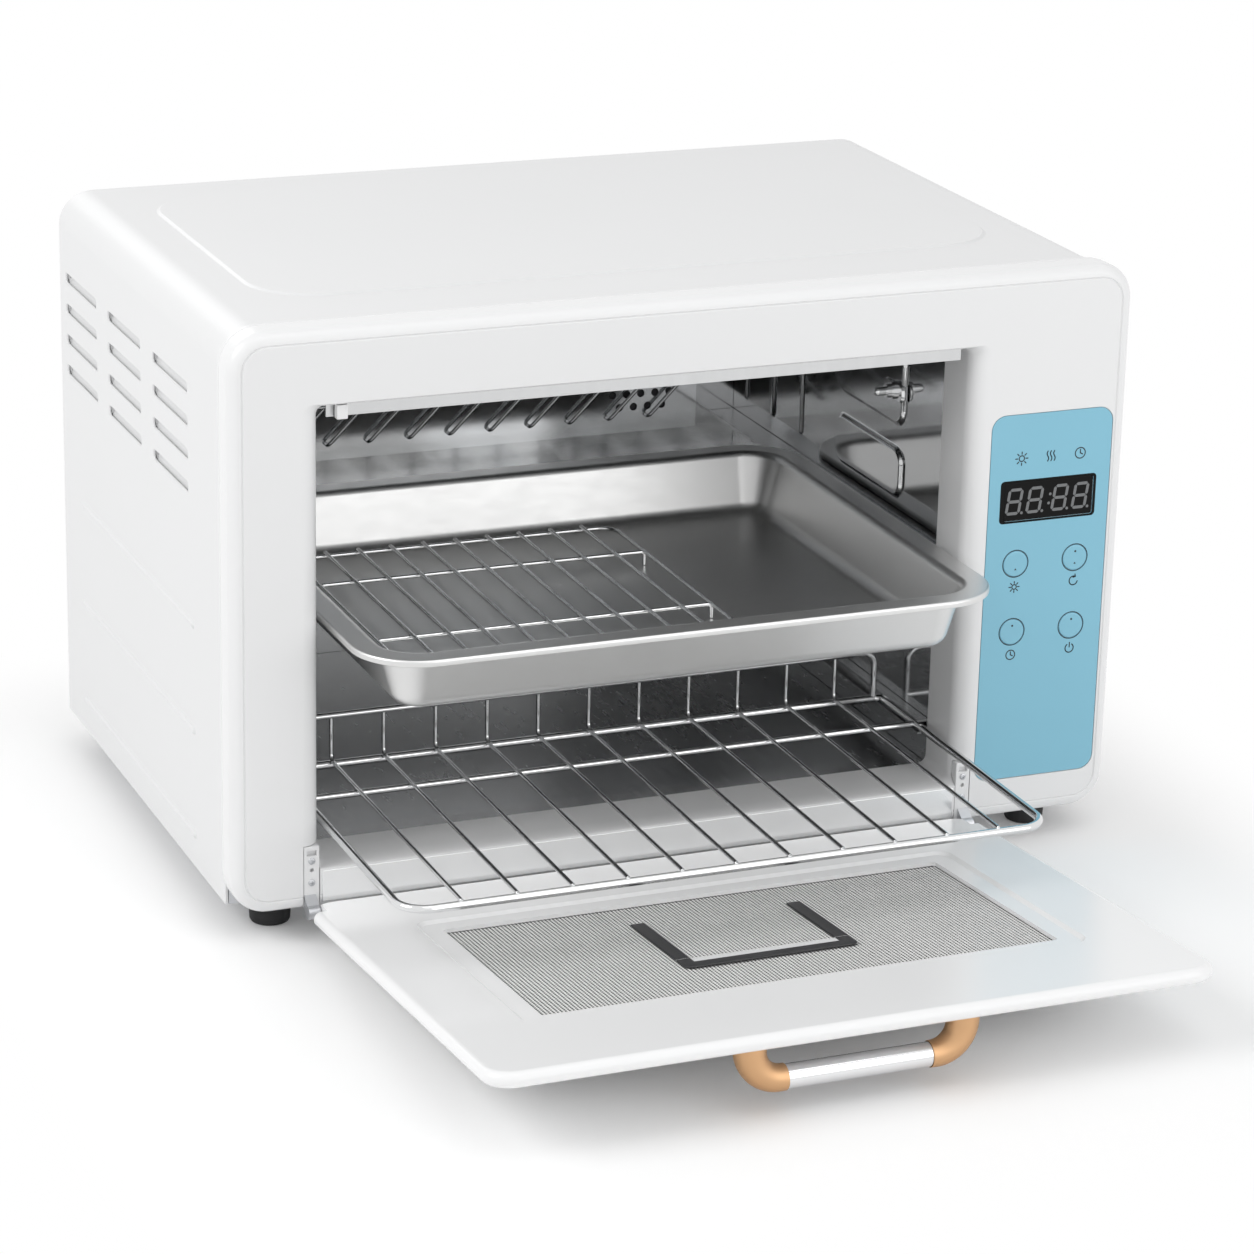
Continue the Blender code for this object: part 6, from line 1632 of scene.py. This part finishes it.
def floor_material(lift):
    """A white table that keeps the shadow near the cabinet and runs out to plain white."""
    made, tree, shader = blank("white_table")
    place_group(
        tree,
        skin_group(),
        {
            "Cloud Scale": 3.0,
            "Grain Scale": 200.0,
            "Tone A": (0.985, 0.985, 0.985, 1.0),
            "Tone B": (1.0, 1.0, 1.0, 1.0),
            "Sheen Low": 0.55,
            "Sheen High": 0.65,
        },
        shader,
        0.02,
        0.0002,
    )
    shader.inputs["Specular IOR Level"].default_value = 0.2
    where = tree.nodes.new("ShaderNodeTexCoord")
    last = where.outputs["Object"]
    for operation, value in (
        ("ABSOLUTE", None), ("SUBTRACT", SHADOW_HALF), ("MAXIMUM", (0.0, 0.0, 0.0)), ("LENGTH", None),
    ):
        apart = tree.nodes.new("ShaderNodeVectorMath")
        apart.operation = operation
        if value:
            apart.inputs[1].default_value = value
        tree.links.new(last, apart.inputs[0])
        last = apart.outputs[0]
    fade = tree.nodes.new("ShaderNodeMapRange")
    fade.interpolation_type = "SMOOTHSTEP"
    fade.inputs["From Min"].default_value = SHADOW_FADE[0]
    fade.inputs["From Max"].default_value = SHADOW_FADE[1]
    tree.links.new(apart.outputs["Value"], fade.inputs["Value"])
    white = tree.nodes.new("ShaderNodeEmission")
    white.inputs["Strength"].default_value = 1.0
    seen = seen_share(tree)
    part = tree.nodes.new("ShaderNodeMath")
    part.operation = "MULTIPLY"
    part.inputs[1].default_value = lift
    tree.links.new(seen, part.inputs[0])
    most = tree.nodes.new("ShaderNodeMath")
    most.operation = "MAXIMUM"
    tree.links.new(fade.outputs["Result"], most.inputs[0])
    tree.links.new(part.outputs["Value"], most.inputs[1])
    both = tree.nodes.new("ShaderNodeMixShader")
    tree.links.new(most.outputs["Value"], both.inputs[0])
    tree.links.new(shader.outputs["BSDF"], both.inputs[1])
    tree.links.new(white.outputs["Emission"], both.inputs[2])
    tree.links.new(both.outputs["Shader"], tree.nodes["Material Output"].inputs["Surface"])
    return made


def seen_share(tree):
    """One for rays from the camera, from gloss and through glass, which see the plain background."""
    path = tree.nodes.new("ShaderNodeLightPath")
    first = tree.nodes.new("ShaderNodeMath")
    first.operation = "MAXIMUM"
    tree.links.new(path.outputs["Is Camera Ray"], first.inputs[0])
    tree.links.new(path.outputs["Is Glossy Ray"], first.inputs[1])
    second = tree.nodes.new("ShaderNodeMath")
    second.operation = "MAXIMUM"
    tree.links.new(first.outputs["Value"], second.inputs[0])
    tree.links.new(path.outputs["Is Transmission Ray"], second.inputs[1])
    return second.outputs["Value"]


def build_stage(settings):
    scene = bpy.context.scene
    rings = []
    for radius in (0.3, 0.8, 1.6, 3.0):
        rings.append([Vector((x, y, 0.0)) for x, y in circle(0, 0, radius, 64)])
    mesh = bmesh.new()
    rows = [[mesh.verts.new(place) for place in ring] for ring in rings]
    mesh.faces.new(rows[0])
    for lower, upper in zip(rows, rows[1:]):
        for i in range(len(lower)):
            j = (i + 1) % len(lower)
            mesh.faces.new((lower[j], lower[i], upper[i], upper[j]))
    bmesh.ops.recalc_face_normals(mesh, faces=mesh.faces)
    table = mesh_object("white_table", mesh)
    table.data.materials.append(floor_material(settings.table_lift))
    world = bpy.data.worlds.new("studio")
    scene.world = world
    world.use_nodes = True
    tree = world.node_tree
    back = tree.nodes["Background"]
    back.inputs["Color"].default_value = (1.0, 1.0, 1.0, 1.0)
    back.inputs["Strength"].default_value = settings.sky
    seen = tree.nodes.new("ShaderNodeBackground")
    seen.inputs["Color"].default_value = (1.0, 1.0, 1.0, 1.0)
    seen.inputs["Strength"].default_value = 1.0
    both = tree.nodes.new("ShaderNodeMixShader")
    tree.links.new(seen_share(tree), both.inputs[0])
    tree.links.new(back.outputs["Background"], both.inputs[1])
    tree.links.new(seen.outputs["Background"], both.inputs[2])
    tree.links.new(both.outputs["Shader"], tree.nodes["World Output"].inputs["Surface"])
    add_lamp("top_lamp", (0.15, -0.60, 1.35), (0.0, -0.15, 0.05), 1.0, settings.top_power)
    add_lamp("front_lamp", (0.85, -1.55, 0.65), (0.0, 0.0, 0.12), 1.6, settings.front_power)
    add_lamp("back_lamp", (-0.35, 1.50, 1.00), (0.0, 0.1, 0.2), 0.8, settings.back_power)
    add_lamp("side_lamp", (-1.30, -0.10, 1.10), (-0.1, 0.0, 0.15), 0.9, settings.side_power)
    data = bpy.data.cameras.new("photo_camera")
    data.lens = CAMERA_LENS
    data.sensor_width = 36.0
    data.sensor_fit = "HORIZONTAL"
    camera = bpy.data.objects.new("photo_camera", data)
    scene.collection.objects.link(camera)
    camera.location = CAMERA_PLACE
    camera.rotation_euler = [math.radians(angle) for angle in CAMERA_TURN]
    scene.camera = camera
    scene.view_settings.view_transform = "Standard"


# Settings


class SterilizerSizes(PropertyGroup):
    mesh_pitch: FloatProperty(
        name="Mesh Pitch", description="Distance between the wires of the window's mesh",
        default=0.0016, min=0.0008, max=0.01, unit="LENGTH",
    )
    mesh_wire: FloatProperty(
        name="Mesh Wire", description="Diameter of the window mesh's wire",
        default=0.00064, min=0.0001, max=0.001, unit="LENGTH",
    )
    digit_height: FloatProperty(
        name="Digit Height", description="Height of the display's digits",
        default=0.0105, min=0.004, max=0.012, unit="LENGTH",
    )
    mark_line: FloatProperty(
        name="Mark Line", description="Width of the printed lines on the control panel",
        default=0.00050, min=0.0001, max=0.001, unit="LENGTH",
    )


class SterilizerColours(PropertyGroup):
    cabinet: FloatVectorProperty(
        name="Cabinet", description="Enamel of the shell", subtype="COLOR",
        default=(0.745, 0.748, 0.752), min=0, max=1,
    )
    moulding: FloatVectorProperty(
        name="Front Frame", description="Plastic of the front frame", subtype="COLOR",
        default=(0.795, 0.798, 0.802), min=0, max=1,
    )
    # Paler than the front frame's white: painted light that offsets the shade the cabinet casts on the open
    # door.
    door: FloatVectorProperty(
        name="Door", description="Gloss finish of the door", subtype="COLOR",
        default=(0.87, 0.873, 0.876), min=0, max=1,
    )
    film: FloatVectorProperty(
        name="Control Film", description="Printed film of the control panel", subtype="COLOR",
        default=(0.225, 0.505, 0.64), min=0, max=1,
    )
    handle: FloatVectorProperty(
        name="Handle Legs", description="Satin metal of the handle's legs", subtype="COLOR",
        default=(0.64, 0.39, 0.21), min=0, max=1,
    )
    digits: FloatVectorProperty(
        name="Digits", description="Unlit bars of the display's digits", subtype="COLOR",
        default=(0.16, 0.165, 0.17), min=0, max=1,
    )
    # Near-black tint: painted shade, so the mesh holes show dark like the shadow under the open door.
    glass: FloatVectorProperty(
        name="Window Glass", description="Tint of the door's glass", subtype="COLOR",
        default=(0.04, 0.042, 0.044), min=0, max=1,
    )


class SterilizerStage(PropertyGroup):
    sky: FloatProperty(
        name="Sky", description="Strength of the even light all round",
        default=0.64, min=0.0, max=3.0,
    )
    table_lift: FloatProperty(
        name="Table Lift", description="Share of plain white in the table near the cabinet",
        default=0.08, min=0.0, max=1.0, subtype="FACTOR",
    )
    top_power: FloatProperty(
        name="Top Lamp", description="Power of the lamp above",
        default=2.7, min=0.0, max=200.0, unit="POWER",
    )
    front_power: FloatProperty(
        name="Front Lamp", description="Power of the lamp in front",
        default=7.2, min=0.0, max=200.0, unit="POWER",
    )
    back_power: FloatProperty(
        name="Back Lamp", description="Power of the lamp behind",
        default=2.5, min=0.0, max=200.0, unit="POWER",
    )
    side_power: FloatProperty(
        name="Side Lamp", description="Power of the lamp at the left",
        default=9.0, min=0.0, max=200.0, unit="POWER",
    )


# Operators


class STERILIZER_OT_stage(Operator):
    """Set up the table, the lamps and the camera"""
    bl_idname = "sterilizer.stage"
    bl_label = "Stage"

    def execute(self, context):
        build_stage(context.scene.sterilizer_stage)
        return {"FINISHED"}


class STERILIZER_OT_shell(Operator):
    """Build the embossed and louvred shell, the rear panel's finish and its screws"""
    bl_idname = "sterilizer.shell"
    bl_label = "Outer Shell"

    def execute(self, context):
        build_shell(finishes())
        return {"FINISHED"}


class STERILIZER_OT_front(Operator):
    """Build the moulded front frame round the opening"""
    bl_idname = "sterilizer.front"
    bl_label = "Front Frame"

    def execute(self, context):
        build_front_frame(finishes())
        return {"FINISHED"}


class STERILIZER_OT_feet(Operator):
    """Build the four rubber feet"""
    bl_idname = "sterilizer.feet"
    bl_label = "Feet"

    def execute(self, context):
        build_feet(finishes())
        return {"FINISHED"}


class STERILIZER_OT_chamber(Operator):
    """Build the pressed walls of the chamber"""
    bl_idname = "sterilizer.chamber"
    bl_label = "Chamber Walls"

    def execute(self, context):
        build_chamber(finishes())
        return {"FINISHED"}


class STERILIZER_OT_rails(Operator):
    """Finish the rails, guides, lip and door sensor"""
    bl_idname = "sterilizer.rails"
    bl_label = "Rails and Lip"

    def execute(self, context):
        build_rails(finishes())
        return {"FINISHED"}


class STERILIZER_OT_lamp(Operator):
    """Build the lamp, its reflector, the wire guard and the probe"""
    bl_idname = "sterilizer.lamp"
    bl_label = "Lamp Unit"

    def execute(self, context):
        build_lamp(finishes())
        return {"FINISHED"}


class STERILIZER_OT_panel(Operator):
    """Build the control film, the display and the printed marks"""
    bl_idname = "sterilizer.panel"
    bl_label = "Control Panel"

    def execute(self, context):
        build_control_panel(finishes(), context.scene.sterilizer_sizes)
        return {"FINISHED"}


class STERILIZER_OT_keys(Operator):
    """Build the four sprung keys with their printed marks"""
    bl_idname = "sterilizer.keys"
    bl_label = "Keys"

    def execute(self, context):
        build_keys(finishes(), context.scene.sterilizer_sizes)
        return {"FINISHED"}


class STERILIZER_OT_hinges(Operator):
    """Build the hinge blocks, their screws and pins"""
    bl_idname = "sterilizer.hinges"
    bl_label = "Hinges"

    def execute(self, context):
        build_hinges(finishes())
        return {"FINISHED"}


class STERILIZER_OT_door(Operator):
    """Build the door's frame"""
    bl_idname = "sterilizer.door"
    bl_label = "Door Frame"

    def execute(self, context):
        build_door(finishes())
        return {"FINISHED"}


class STERILIZER_OT_window(Operator):
    """Build the door's glass, mesh and strips"""
    bl_idname = "sterilizer.window"
    bl_label = "Door Window"

    def execute(self, context):
        build_window(finishes(), context.scene.sterilizer_sizes)
        return {"FINISHED"}


class STERILIZER_OT_handle(Operator):
    """Build the handle's legs and bar"""
    bl_idname = "sterilizer.handle"
    bl_label = "Handle"

    def execute(self, context):
        build_handle(finishes())
        return {"FINISHED"}


class STERILIZER_OT_rack(Operator):
    """Build the wire rack with its fence"""
    bl_idname = "sterilizer.rack"
    bl_label = "Wire Rack"

    def execute(self, context):
        build_rack(finishes())
        return {"FINISHED"}


class STERILIZER_OT_tray(Operator):
    """Build the pressed tray and its wire insert"""
    bl_idname = "sterilizer.tray"
    bl_label = "Tray"

    def execute(self, context):
        coats = finishes()
        build_tray(coats)
        build_insert(coats)
        return {"FINISHED"}


class STERILIZER_OT_service(Operator):
    """Finish the fan, the boards, the heater and the cable gland"""
    bl_idname = "sterilizer.service"
    bl_label = "Service Bay"

    def execute(self, context):
        build_service(finishes())
        return {"FINISHED"}


STEPS = (
    STERILIZER_OT_stage,
    STERILIZER_OT_shell,
    STERILIZER_OT_front,
    STERILIZER_OT_feet,
    STERILIZER_OT_chamber,
    STERILIZER_OT_rails,
    STERILIZER_OT_lamp,
    STERILIZER_OT_panel,
    STERILIZER_OT_keys,
    STERILIZER_OT_hinges,
    STERILIZER_OT_door,
    STERILIZER_OT_window,
    STERILIZER_OT_handle,
    STERILIZER_OT_rack,
    STERILIZER_OT_tray,
    STERILIZER_OT_service,
)


class STERILIZER_PT_sidebar(Panel):
    """Lists the sterilizer's pieces, sizes and colours"""
    bl_idname = "STERILIZER_PT_sidebar"
    bl_label = "Tool Sterilizer"
    bl_space_type = "VIEW_3D"
    bl_region_type = "UI"
    bl_category = "Sterilizer"

    def draw(self, context):
        scene = context.scene
        for title, group in (
            ("Sizes", scene.sterilizer_sizes),
            ("Colours", scene.sterilizer_colours),
            ("Stage", scene.sterilizer_stage),
        ):
            box = self.layout.box()
            box.label(text=title)
            for key in group.__annotations__:
                box.prop(group, key)
        for step in STEPS:
            self.layout.operator(step.bl_idname)


CLASSES = (SterilizerSizes, SterilizerColours, SterilizerStage) + STEPS + (STERILIZER_PT_sidebar,)


def register():
    for item in CLASSES:
        bpy.utils.register_class(item)
    bpy.types.Scene.sterilizer_sizes = PointerProperty(type=SterilizerSizes)
    bpy.types.Scene.sterilizer_colours = PointerProperty(type=SterilizerColours)
    bpy.types.Scene.sterilizer_stage = PointerProperty(type=SterilizerStage)


def unregister():
    del bpy.types.Scene.sterilizer_stage
    del bpy.types.Scene.sterilizer_colours
    del bpy.types.Scene.sterilizer_sizes
    for item in reversed(CLASSES):
        bpy.utils.unregister_class(item)


def main():
    register()
    for step in STEPS:
        group, name = step.bl_idname.split(".")
        getattr(getattr(bpy.ops, group), name)()


if __name__ == "__main__":
    main()
